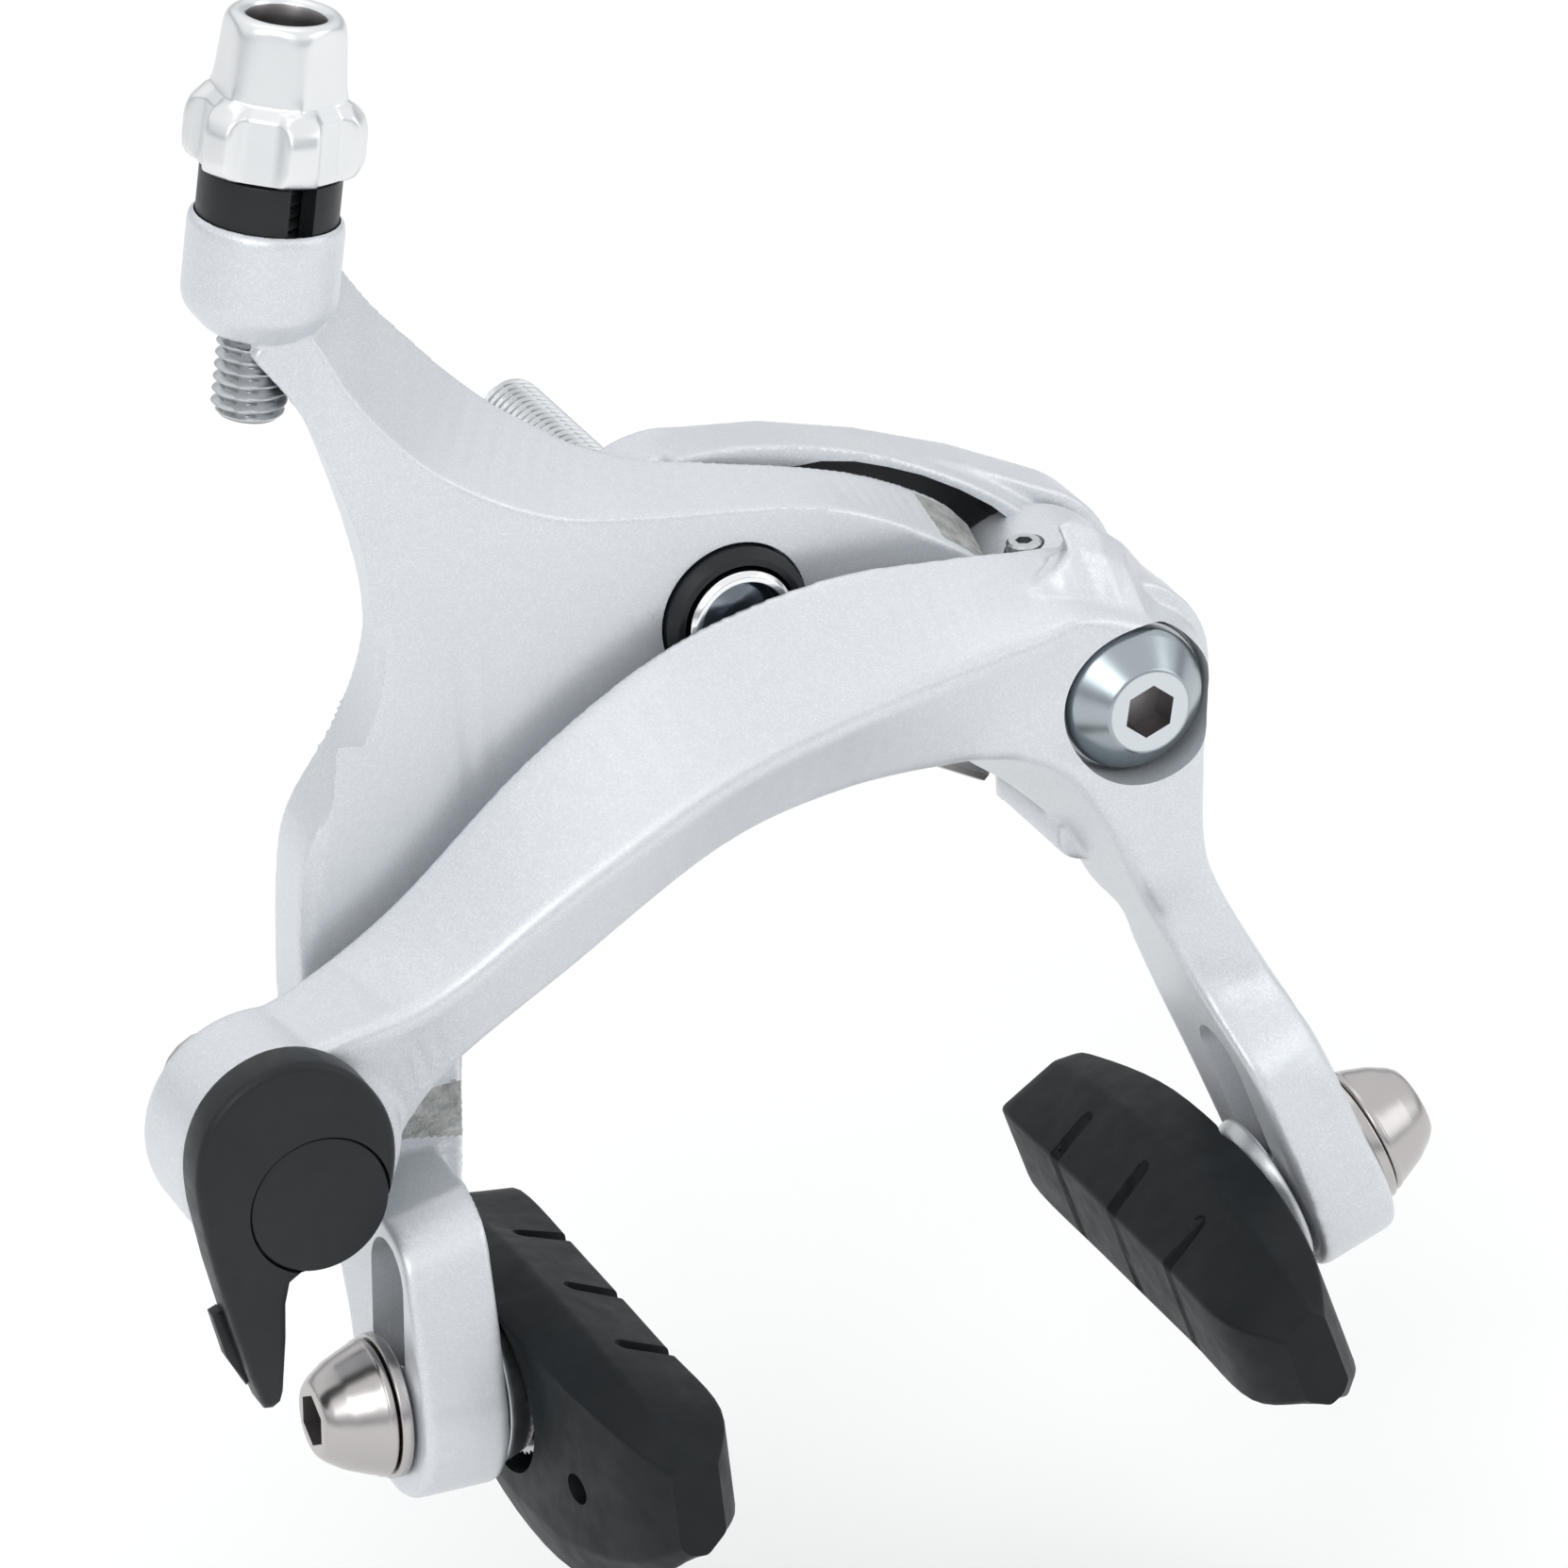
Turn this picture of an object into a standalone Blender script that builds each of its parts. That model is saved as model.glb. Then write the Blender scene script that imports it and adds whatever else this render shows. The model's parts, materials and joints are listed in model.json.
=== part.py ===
"""Dual-pivot rim brake caliper, modelled at rest with its arms open.

Frame: the origin is on the centre bolt, at the plane that meets the fork. +Y points back along
the bolt, +X is right as seen from the front, +Z is up. Lengths below are in millimetres.
"""

import math

import bmesh
import bpy
from mathutils import Matrix, Vector

MM = 0.001
GAP = 0.3

# Centre bolt and the stack that it carries
STUD_RADIUS = 3.0
STUD_BACK = 28.0
STUD_FRONT = -19.6
WASHER_THICKNESS = 1.7
BRACKET_BACK = -2.0
BRACKET_FRONT = -8.0
FLANGE_FRONT = -11.0
HUB_BACK = -9.6
HUB_RADIUS = 10.0
HUB_BOSS_RADIUS = 7.2
HUB_BORE = 3.6
NUT_FRONT = -21.0
SEAL_RADIUS = 6.2

# Side pivot
PIVOT_X = 30.2
PIVOT_Z = -9.9
PIVOT_HUB_RADIUS = 8.8
PIVOT_HEAD_FACE = -33.0
PIVOT_BUSH_RADIUS = 4.6

SCREW_X = 27.6
SCREW_Y = -15.6

# Arms
C_ARM_BACK = -21.6
LEG_THICKNESS = 7.3
LEG_DEPTH = 16.0

# Cable side
BOSS_CENTRE = (-36.6, -14.0, 34.8)
BOSS_TILT = 9.9
BOSS_RADIUS = 6.4
BOSS_HEIGHT = 11.0
QR_X = -44.9
QR_Z = -34.2
QR_BOSS_RADIUS = 9.5

# Brake shoes: the bolt's centre in the leg, and the bolt's tilt at rest
SHOE_Y = -32.0
LEFT_BOLT = (-35.4, -55.9)
RIGHT_BOLT = (44.6, -56.3)
LEFT_TILT = 2.4
RIGHT_TILT = -19.0
LEFT_PAD_TILT = -4.0
RIGHT_PAD_TILT = -18.0
SLOT_WIDTH = 6.8
LEFT_SLOT_TRAVEL = 11.5
RIGHT_SLOT_TRAVEL = 14.0
PAD_SEAT = 9.9
PAD_POCKET_RADIUS = 7.5
PAD_FACE = 17.1
PAD_GROOVES = (11.7, 0.9, -9.4)
PAD_SHIFT = {"left_shoe": -1.2, "right_shoe": 1.4}

SILVER = ("silver_paint", (0.66, 0.69, 0.72), 0.38, 0.75)
CHROME = ("chrome", (0.80, 0.81, 0.82), 0.10, 1.0)
STEEL = ("stainless", (0.50, 0.47, 0.44), 0.22, 1.0)
ZINC = ("zinc", (0.62, 0.64, 0.66), 0.35, 1.0)
BLACK = ("black_plastic", (0.025, 0.026, 0.028), 0.45, 0.0)
RUBBER = ("pad_rubber", (0.035, 0.037, 0.040), 0.62, 0.0)
NYLON = ("white_nylon", (0.75, 0.75, 0.72), 0.5, 0.0)


def clear_scene():
    for obj in list(bpy.data.objects):
        bpy.data.objects.remove(obj, do_unlink=True)


def new_collection(name):
    collection = bpy.data.collections.new(name)
    bpy.context.scene.collection.children.link(collection)
    return collection


clear_scene()
PARTS = new_collection("rim_brake_caliper")
CUTTERS = new_collection("cutters")


def material(spec):
    name, colour, roughness, metallic = spec
    found = bpy.data.materials.get(name)
    if found:
        return found
    made = bpy.data.materials.new(name)
    made.use_nodes = True
    shader = made.node_tree.nodes["Principled BSDF"]
    shader.inputs["Base Color"].default_value = (*colour, 1.0)
    shader.inputs["Roughness"].default_value = roughness
    shader.inputs["Metallic"].default_value = metallic
    return made


def add_object(name, mesh, spec):
    """Puts a mesh in the part's collection, or among the cutters when it has no material."""
    obj = bpy.data.objects.new(name, mesh)
    if spec is None:
        CUTTERS.objects.link(obj)
        obj.hide_render = True
        obj.display_type = "WIRE"
    else:
        PARTS.objects.link(obj)
        mesh.materials.append(material(spec))
    return obj


def mesh_from(name, bm):
    bmesh.ops.recalc_face_normals(bm, faces=bm.faces)
    mesh = bpy.data.meshes.new(name)
    bm.to_mesh(mesh)
    bm.free()
    return mesh


def place(obj, point, axis=None, parent=None):
    """Moves an object to a point in millimetres, with its own Z turned onto the axis."""
    if axis is not None:
        obj.rotation_euler = Vector(axis).to_track_quat("Z", "Y").to_euler()
    obj.location = Vector(point) * MM
    if parent is not None:
        obj.parent = parent
    return obj


def boolean(obj, other, operation="DIFFERENCE"):
    modifier = obj.modifiers.new(operation.lower(), "BOOLEAN")
    modifier.operation = operation
    modifier.solver = "EXACT"
    modifier.object = other
    return obj


def turned(name, profile, spec, steps=20):
    """A solid of revolution about Z. The profile's (radius, height) points run down the outside."""
    mesh = bpy.data.meshes.new(name)
    points = [(radius * MM, 0.0, height * MM) for radius, height in profile]
    edges = [(i, i + 1) for i in range(len(points) - 1)]
    if profile[0][0] > 0.0:
        edges.append((len(points) - 1, 0))
    mesh.from_pydata(points, edges, [])
    obj = add_object(name, mesh, spec)
    screw = obj.modifiers.new("turn", "SCREW")
    screw.steps = steps
    screw.render_steps = steps
    screw.use_merge_vertices = True
    screw.merge_threshold = 0.00001
    screw.use_smooth_shade = True
    return obj


def rod(name, radius, length, spec=None, sides=20):
    """A cylinder that starts at its origin and runs along its own Z."""
    bm = bmesh.new()
    shift = Matrix.Translation((0.0, 0.0, 0.5 * length * MM))
    bmesh.ops.create_cone(bm, cap_ends=True, segments=sides, radius1=radius * MM,
                          radius2=radius * MM, depth=length * MM, matrix=shift)
    return add_object(name, mesh_from(name, bm), spec)


def block(name, size, spec=None):
    bm = bmesh.new()
    bmesh.ops.create_cube(bm, size=MM, matrix=Matrix.Diagonal((*size, 1.0)))
    return add_object(name, mesh_from(name, bm), spec)


def plate(name, outline, depth, spec):
    """A flat outline of (x, z) points, extruded evenly to both sides of y = 0."""
    curve = bpy.data.curves.new(name, "CURVE")
    curve.dimensions = "2D"
    curve.fill_mode = "BOTH"
    curve.extrude = 0.5 * depth * MM
    spline = curve.splines.new("POLY")
    spline.points.add(len(outline) - 1)
    for point, (x, z) in zip(spline.points, outline):
        point.co = (x * MM, z * MM, 0.0, 1.0)
    spline.use_cyclic_u = True
    guide = bpy.data.objects.new(name + "_curve", curve)
    PARTS.objects.link(guide)
    guide.rotation_euler = (math.radians(90.0), 0.0, 0.0)
    bpy.context.view_layer.update()
    graph = bpy.context.evaluated_depsgraph_get()
    mesh = bpy.data.meshes.new_from_object(guide.evaluated_get(graph))
    bm = bmesh.new()
    bm.from_mesh(mesh)
    bmesh.ops.remove_doubles(bm, verts=bm.verts, dist=0.000001)
    bmesh.ops.transform(bm, matrix=guide.matrix_world, verts=bm.verts)
    made = mesh_from(name, bm)
    bpy.data.objects.remove(guide, do_unlink=True)
    return add_object(name, made, spec)


def arc(centre, radius, start, end, count):
    """Points along a circle in the XZ plane, with angles in degrees from +X towards +Z."""
    angles = [math.radians(start + (end - start) * i / (count - 1)) for i in range(count)]
    return [(centre[0] + radius * math.cos(a), centre[1] + radius * math.sin(a)) for a in angles]


def smooth_line(points, between):
    """A Catmull-Rom curve through the points, with the given number of steps between them."""
    line = []
    last = len(points) - 1
    for i in range(last):
        p0 = Vector(points[max(i - 1, 0)])
        p1 = Vector(points[i])
        p2 = Vector(points[i + 1])
        p3 = Vector(points[min(i + 2, last)])
        for step in range(between):
            t = step / between
            line.append(0.5 * (2.0 * p1 + (p2 - p0) * t + (2.0 * p0 - 5.0 * p1 + 4.0 * p2 - p3) * t ** 2
                               + (3.0 * p1 - p0 - 3.0 * p2 + p3) * t ** 3))
    line.append(Vector(points[-1]))
    return line


def rounded_ring(corners, radius, steps):
    """A polygon's points with each corner replaced by a small curve."""
    ring = []
    count = len(corners)
    for i, corner in enumerate(corners):
        back = corners[i - 1] - corner
        ahead = corners[(i + 1) % count] - corner
        start = corner + back.normalized() * min(radius, 0.45 * back.length)
        end = corner + ahead.normalized() * min(radius, 0.45 * ahead.length)
        for step in range(steps + 1):
            t = step / steps
            ring.append(start * (1 - t) ** 2 + corner * (2 * t * (1 - t)) + end * t ** 2)
    return ring


def edge_loft(name, edges, radius, spec, between=2, steps=1):
    """A solid whose long edges follow the given lines of (x, y, z) points."""
    lines = [smooth_line(edge, between) for edge in edges]
    bm = bmesh.new()
    rings = []
    for corners in zip(*lines):
        points = rounded_ring(list(corners), radius, steps)
        rings.append([bm.verts.new(point * MM) for point in points])
    count = len(rings[0])
    for ring, after in zip(rings, rings[1:]):
        for i in range(count):
            j = (i + 1) % count
            bm.faces.new((ring[i], ring[j], after[j], after[i]))
    bm.faces.new(rings[0])
    bm.faces.new(rings[-1])
    bmesh.ops.triangulate(bm, faces=bm.faces)
    return add_object(name, mesh_from(name, bm), spec)


def along_y(obj, x, z, back, parent=None):
    """Stands a turned piece or rod on its back end, pointing to the front."""
    return place(obj, (x, back, z), (0.0, -1.0, 0.0), parent)


def frame_of_bolt(name, bolt, tilt):
    """An empty on a shoe bolt, whose X is the bolt's axis."""
    empty = bpy.data.objects.new(name, None)
    PARTS.objects.link(empty)
    empty.location = Vector((bolt[0], SHOE_Y, bolt[1])) * MM
    empty.rotation_euler = (0.0, math.radians(tilt), 0.0)
    return empty


# ---------------------------------------------------------------- bracket and centre bolt

def make_centre_bolt():
    length = STUD_BACK - STUD_FRONT
    profile = [(0.0, length), (2.1, length), (STUD_RADIUS - 0.3, length - 0.8),
               (STUD_RADIUS, length - 1.6), (STUD_RADIUS, 0.9), (STUD_RADIUS - 0.8, 0.2), (0.0, 0.0)]
    return place(turned("centre_bolt", profile, ZINC), (0.0, STUD_FRONT, 0.0), (0.0, 1.0, 0.0))


def make_centre_nut():
    inner = STUD_RADIUS + GAP
    profile = [(inner, 4.0), (4.2, 4.0), (4.6, 3.6), (4.6, 0.8), (5.2, 0.6), (5.2, 0.0), (inner, 0.0)]
    return along_y(turned("centre_nut", profile, CHROME), 0.0, 0.0, NUT_FRONT + 4.0)


def make_centre_seal_ring():
    outer = SEAL_RADIUS
    profile = [(4.9, 3.2), (5.5, 3.2), (outer, 2.4), (outer, 0.0), (5.5, 0.0), (5.5, 1.6), (4.9, 1.6)]
    return along_y(turned("centre_seal_ring", profile, BLACK), 0.0, 0.0, -17.2)


def make_toothed_washer():
    teeth = 18
    inner = STUD_RADIUS + GAP
    outline = []
    for i in range(teeth):
        for offset, radius in ((-0.30, 7.0), (-0.18, 7.6), (0.18, 7.6), (0.30, 7.0)):
            angle = 2.0 * math.pi * (i + offset) / teeth
            outline.append((radius * math.cos(angle), radius * math.sin(angle)))
    washer = plate("toothed_washer", outline, WASHER_THICKNESS, ZINC)
    washer.location.y = -0.5 * WASHER_THICKNESS * MM
    hole = along_y(rod("toothed_washer_hole", inner, 4.0), 0.0, 0.0, 1.0)
    return boolean(washer, hole)


def make_hub_thrust_washer():
    profile = [(STUD_RADIUS + GAP, 1.0), (7.0, 1.0), (7.0, 0.0), (STUD_RADIUS + GAP, 0.0)]
    return along_y(turned("hub_thrust_washer", profile, ZINC), 0.0, 0.0, BRACKET_FRONT - GAP)


def bracket_outline():
    """The bracket's arch: round the centre bolt, over the top and round the side pivot."""
    over = [(9.5, 9.3), (17.9, 7.1), (27.0, 3.4)]
    pivot = arc((PIVOT_X, PIVOT_Z), 10.4, 60.0, -98.0, 12)
    under = [(21.0, -16.6), (13.0, -12.6), (7.0, -9.8)]
    hub = arc((0.0, 0.0), HUB_RADIUS, -75.0, -285.0, 16)
    return over + pivot + under + hub


def flange_outline():
    """The thin rim along the bracket's top, which covers the tail of the y-arm."""
    top = [(-2.6, 9.66), (2.7, 9.9), (9.5, 9.3), (17.9, 7.1), (27.0, 3.4), (32.2, 0.3)]
    under = [(28.8, -0.1), (25.6, 1.2), (17.2, 4.6), (9.1, 7.0), (2.7, 7.9), (-2.2, 7.7)]
    return top + under


def make_bracket():
    depth = BRACKET_BACK - BRACKET_FRONT
    body = plate("bracket", bracket_outline(), depth, SILVER)
    body.location.y = 0.5 * (BRACKET_BACK + BRACKET_FRONT) * MM
    rim = plate("bracket_rim", flange_outline(), BRACKET_BACK - 1.0 - FLANGE_FRONT, None)
    rim.location.y = 0.5 * (BRACKET_BACK - 1.0 + FLANGE_FRONT) * MM
    boolean(body, rim, "UNION")
    hole = along_y(rod("bracket_hole", STUD_RADIUS + GAP, 12.0), 0.0, 0.0, 1.0)
    boolean(body, hole)
    pivot = along_y(rod("bracket_pivot_hole", 3.0 + GAP, 12.0), PIVOT_X, PIVOT_Z, 1.0)
    boolean(body, pivot)
    pocket = plate("bracket_pocket", [(11.0, 5.0), (17.5, 3.3), (23.0, 0.4), (19.5, -8.0), (14.5, -10.0),
                                      (11.2, -6.5)], 2.4, None)
    pocket.location.y = (BRACKET_BACK - 0.9) * MM
    return boolean(body, pocket)


def make_side_pivot_bolt():
    length = PIVOT_HEAD_FACE - BRACKET_BACK
    profile = [(0.0, -length), (3.7, -length), (4.05, -length - 0.35), (5.6, -length - 1.5),
               (5.9, -length - 2.4), (5.9, -length - 3.4), (3.0, -length - 3.4), (3.0, 0.4),
               (2.4, 0.0), (0.0, 0.0)]
    bolt = along_y(turned("side_pivot_bolt", profile, CHROME), PIVOT_X, PIVOT_Z, BRACKET_BACK)
    socket = along_y(rod("side_pivot_socket", 2.31, 4.0, sides=6), PIVOT_X, PIVOT_Z,
                     PIVOT_HEAD_FACE + 2.6)
    return boolean(bolt, socket)


def make_side_pivot_washer():
    back = PIVOT_HEAD_FACE + 3.4 + GAP + 0.7
    profile = [(3.0 + GAP, 0.7), (6.1, 0.7), (6.1, 0.0), (3.0 + GAP, 0.0)]
    return along_y(turned("side_pivot_washer", profile, ZINC), PIVOT_X, PIVOT_Z, back)


def make_return_spring():
    """A bent wire under the hub, whose ends press the two arms open."""
    route = [(-27.5, -24.5), (-23.0, -18.5), (-14.0, -15.4), (-6.0, -13.6), (0.0, -12.6), (6.0, -13.6),
             (12.0, -16.0), (19.0, -20.4), (26.0, -24.4)]
    points = smooth_line([(x, HUB_BACK - 0.2, z) for x, z in route], 3)
    curve = bpy.data.curves.new("return_spring", "CURVE")
    curve.dimensions = "3D"
    curve.bevel_depth = 0.9 * MM
    curve.bevel_resolution = 2
    curve.use_fill_caps = True
    spline = curve.splines.new("POLY")
    spline.points.add(len(points) - 1)
    for point, co in zip(spline.points, points):
        point.co = (*(co * MM), 1.0)
    curve.materials.append(material(STEEL))
    obj = bpy.data.objects.new("return_spring", curve)
    PARTS.objects.link(obj)
    return obj


# ---------------------------------------------------------------- y-arm and cable adjuster

def y_arm_neck():
    """From the cable boss down to the leg: left back, left front, right front, right back edges."""
    left_back = [(-39.0, -10.5, 32.0), (-34.3, -11.0, 25.5), (-31.2, -11.0, 16.5), (-29.3, -11.2, 7.6),
                 (-29.5, -11.5, 2.0), (-32.2, -11.5, -4.5), (-36.8, -11.5, -11.0), (-38.2, -11.5, -17.0),
                 (-38.9, -11.5, -27.0), (-39.3, -12.4, -34.0), (-39.3, -13.4, -38.6), (-39.0, -15.4, -42.5)]
    left_front = [(-39.0, -18.0, 32.0), (-35.2, -18.6, 24.6), (-32.1, -18.8, 15.6), (-30.2, -19.0, 6.8),
                  (-30.4, -19.0, 1.3), (-33.1, -19.0, -5.2), (-37.7, -19.0, -11.5), (-39.1, -19.0, -17.2),
                  (-39.6, -19.4, -27.0), (-39.6, -20.6, -34.0), (-39.3, -21.3, -38.6), (-39.0, -23.5, -42.5)]
    right_front = [(-35.0, -18.0, 33.0), (-31.0, -19.0, 25.3), (-24.5, -19.0, 17.8), (-15.0, -19.2, 12.3),
                   (-9.0, -19.0, 3.0), (-12.5, -19.0, -6.5), (-17.5, -19.0, -14.0), (-22.5, -19.0, -22.0),
                   (-25.3, -19.4, -30.0), (-26.4, -20.6, -33.6), (-28.6, -25.5, -37.6), (-30.6, -29.5, -41.0)]
    right_back = [(-30.5, -10.5, 35.0), (-25.5, -10.5, 29.3), (-17.9, -10.5, 20.7), (-10.0, -10.9, 14.6),
                  (-9.0, -11.5, 3.5), (-12.5, -11.5, -6.0), (-17.5, -11.5, -13.5), (-22.5, -11.5, -22.0),
                  (-25.3, -11.5, -30.0), (-26.4, -12.4, -34.5), (-28.6, -13.8, -39.5), (-30.6, -15.8, -43.5)]
    return edge_loft("y_arm", [left_back, left_front, right_front, right_back], 1.4, SILVER)


def y_arm_tail():
    """From the neck across the hub to the tail: top back, top front, lower front, lower back."""
    top_back = [(-24.0, -11.2, 15.0), (-14.0, -11.2, 15.6), (-6.9, -11.2, 12.3), (1.0, -11.2, 10.2),
                (8.0, -11.3, 8.4), (15.0, -11.3, 6.1), (21.5, -11.3, 2.6), (24.6, -11.3, -0.4)]
    top_front = [(-24.0, -18.9, 11.0), (-15.5, -18.9, 12.0), (-7.7, -19.1, 10.6), (1.4, -19.1, 9.2),
                 (8.5, -19.0, 7.6), (14.5, -18.8, 4.9), (20.0, -18.6, 1.3), (23.0, -18.4, -1.8)]
    low_front = [(-24.0, -18.9, -8.0), (-15.0, -18.9, -11.0), (-7.0, -19.1, -10.4), (1.0, -19.1, -9.8),
                 (8.0, -19.0, -7.6), (12.5, -18.8, -4.4), (16.5, -18.6, -3.4), (20.0, -18.4, -4.8)]
    low_back = [(x, -11.3, z) for x, _, z in low_front]
    return edge_loft("y_arm_tail", [top_back, top_front, low_front, low_back], 1.6, None)


def y_arm_lower_leg():
    """Below the ledge, where the leg steps forward to the shoe bolt."""
    half = 0.5 * LEG_THICKNESS
    outer_rises = (16.4, 14.6, 10.0, 5.0, 0.0)
    inner_rises = (18.3, 16.0, 11.0, 5.0, 0.0)
    backs = (-14.5, -16.0, -19.5, -22.5, -24.0)
    fronts = (-31.5, -35.4, -37.4, -39.0, -40.0)
    lines = []
    for offset, depths, rises in ((-half, backs, outer_rises), (-half, fronts, outer_rises),
                                  (half, fronts, inner_rises), (half, backs, inner_rises)):
        lines.append([leg_edge(LEFT_BOLT, LEFT_TILT, offset, y, rise) for y, rise in zip(depths, rises)])
    return edge_loft("y_arm_leg", lines, 1.0, None)


def leg_edge(bolt, tilt, offset, y, rise):
    """A point on a leg's flat side: off its middle plane, and above the shoe bolt."""
    turn = math.radians(tilt)
    x = bolt[0] + math.cos(turn) * offset + math.sin(turn) * rise
    z = bolt[1] - math.sin(turn) * offset + math.cos(turn) * rise
    return (x, y, z)


def leg_end(name, bolt, tilt):
    """The rounded foot of a leg, around its shoe bolt."""
    foot = rod(name, 0.5 * LEG_DEPTH, LEG_THICKNESS, sides=28)
    turn = math.radians(tilt)
    axis = Vector((math.cos(turn), 0.0, -math.sin(turn)))
    start = Vector((bolt[0], SHOE_Y, bolt[1])) - axis * 0.5 * LEG_THICKNESS
    return place(foot, start, axis)


def slot_cutter(name, bolt, tilt, travel):
    """A slot that lets the shoe bolt rise by the slot's travel."""
    width = 0.5 * SLOT_WIDTH
    depth = 30.0
    low = [(width * math.cos(a), width * math.sin(a)) for a in
           [math.radians(180.0 + 180.0 * i / 10) for i in range(11)]]
    high = [(-x, travel - z) for x, z in low]
    cutter = plate(name, low + high, depth, None)
    cutter.location = Vector((bolt[0], SHOE_Y, bolt[1])) * MM
    turn = Matrix.Rotation(math.radians(tilt), 4, "Y") @ Matrix.Rotation(math.radians(90.0), 4, "Z")
    cutter.rotation_euler = turn.to_euler()
    return cutter


def boss_axis():
    tilt = math.radians(BOSS_TILT)
    return Vector((math.sin(tilt), 0.0, math.cos(tilt)))


def boss_point(height):
    """A point on the adjuster's axis, at a height above the boss's middle."""
    return Vector(BOSS_CENTRE) + boss_axis() * height


def make_y_arm():
    arm = y_arm_neck()
    boolean(arm, y_arm_tail(), "UNION")
    half = 0.5 * BOSS_HEIGHT
    profile = [(0.0, half), (BOSS_RADIUS - 0.4, half), (BOSS_RADIUS, half - 0.4), (BOSS_RADIUS, 1.8 - half),
               (BOSS_RADIUS - 0.6, 0.6 - half), (BOSS_RADIUS - 1.8, -half), (0.0, -half)]
    boss = place(turned("y_arm_boss", profile, None), BOSS_CENTRE, boss_axis())
    boolean(arm, boss, "UNION")
    boolean(arm, along_y(rod("y_arm_hub", HUB_BOSS_RADIUS, 6.0), 0.0, 0.0, HUB_BACK), "UNION")
    boolean(arm, y_arm_lower_leg(), "UNION")
    boolean(arm, leg_end("y_arm_foot", LEFT_BOLT, LEFT_TILT), "UNION")
    boolean(arm, place(rod("y_arm_boss_bore", 3.0 + GAP, 30.0), boss_point(-15.0), boss_axis()))
    seat = place(rod("y_arm_collar_seat", 5.7, 5.0), boss_point(half - 1.2), boss_axis())
    boolean(arm, seat)
    boolean(arm, along_y(rod("y_arm_bore", HUB_BORE, 20.0), 0.0, 0.0, -5.0))
    boolean(arm, along_y(rod("y_arm_counterbore", SEAL_RADIUS + GAP, 8.0, sides=28), 0.0, 0.0, -16.9))
    boolean(arm, slot_cutter("y_arm_slot", LEFT_BOLT, LEFT_TILT, LEFT_SLOT_TRAVEL))
    return arm


def make_adjuster_collar():
    """The split black ring that sits in the boss, under the grip."""
    profile = [(3.0 + GAP + 0.2, 4.6), (5.3, 4.6), (5.5, 4.3), (5.5, 1.1), (5.3, 0.0), (3.0 + GAP + 0.2, 0.0)]
    ring = place(turned("adjuster_collar", profile, BLACK), boss_point(4.7), boss_axis())
    slot = block("adjuster_collar_slot", (2.0, 6.0, 8.0))
    front = Vector((0.25, -0.968, 0.0))
    slot.location = (boss_point(7.0) + front * 4.8) * MM
    slot.rotation_euler = (0.0, math.radians(BOSS_TILT), math.radians(14.5))
    return boolean(ring, slot)


def grip_profile():
    """The grip's smooth core: a wide skirt that tapers to a narrow neck."""
    return [(3.0, 13.4), (4.3, 13.4), (4.7, 13.0), (4.9, 9.0), (5.6, 6.2), (6.5, 4.4), (6.7, 1.6), (6.2, 0.0),
            (3.0, 0.0)]


def make_adjuster_barrel():
    barrel = turned("adjuster_barrel", grip_profile(), CHROME, steps=24)
    place(barrel, boss_point(9.6), boss_axis())
    lobes = 6
    for i in range(lobes):
        angle = 2.0 * math.pi * (i + 0.5) / lobes
        flute = place(rod("adjuster_flute_%d" % i, 2.6, 9.0, sides=20), (8.4 * math.cos(angle),
                      8.4 * math.sin(angle), -1.0), None, barrel)
        boolean(barrel, flute)
    return barrel


def make_adjuster_bolt():
    """The hollow threaded shank, which the grip turns."""
    profile = [(1.5, 28.0), (2.7, 28.0), (2.7, 14.4), (3.0, 14.0), (3.0, 0.4), (2.7, 0.0), (1.5, 0.0)]
    return place(turned("adjuster_bolt", profile, ZINC), boss_point(-10.4), boss_axis())


# ---------------------------------------------------------------- c-arm and quick release

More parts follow.
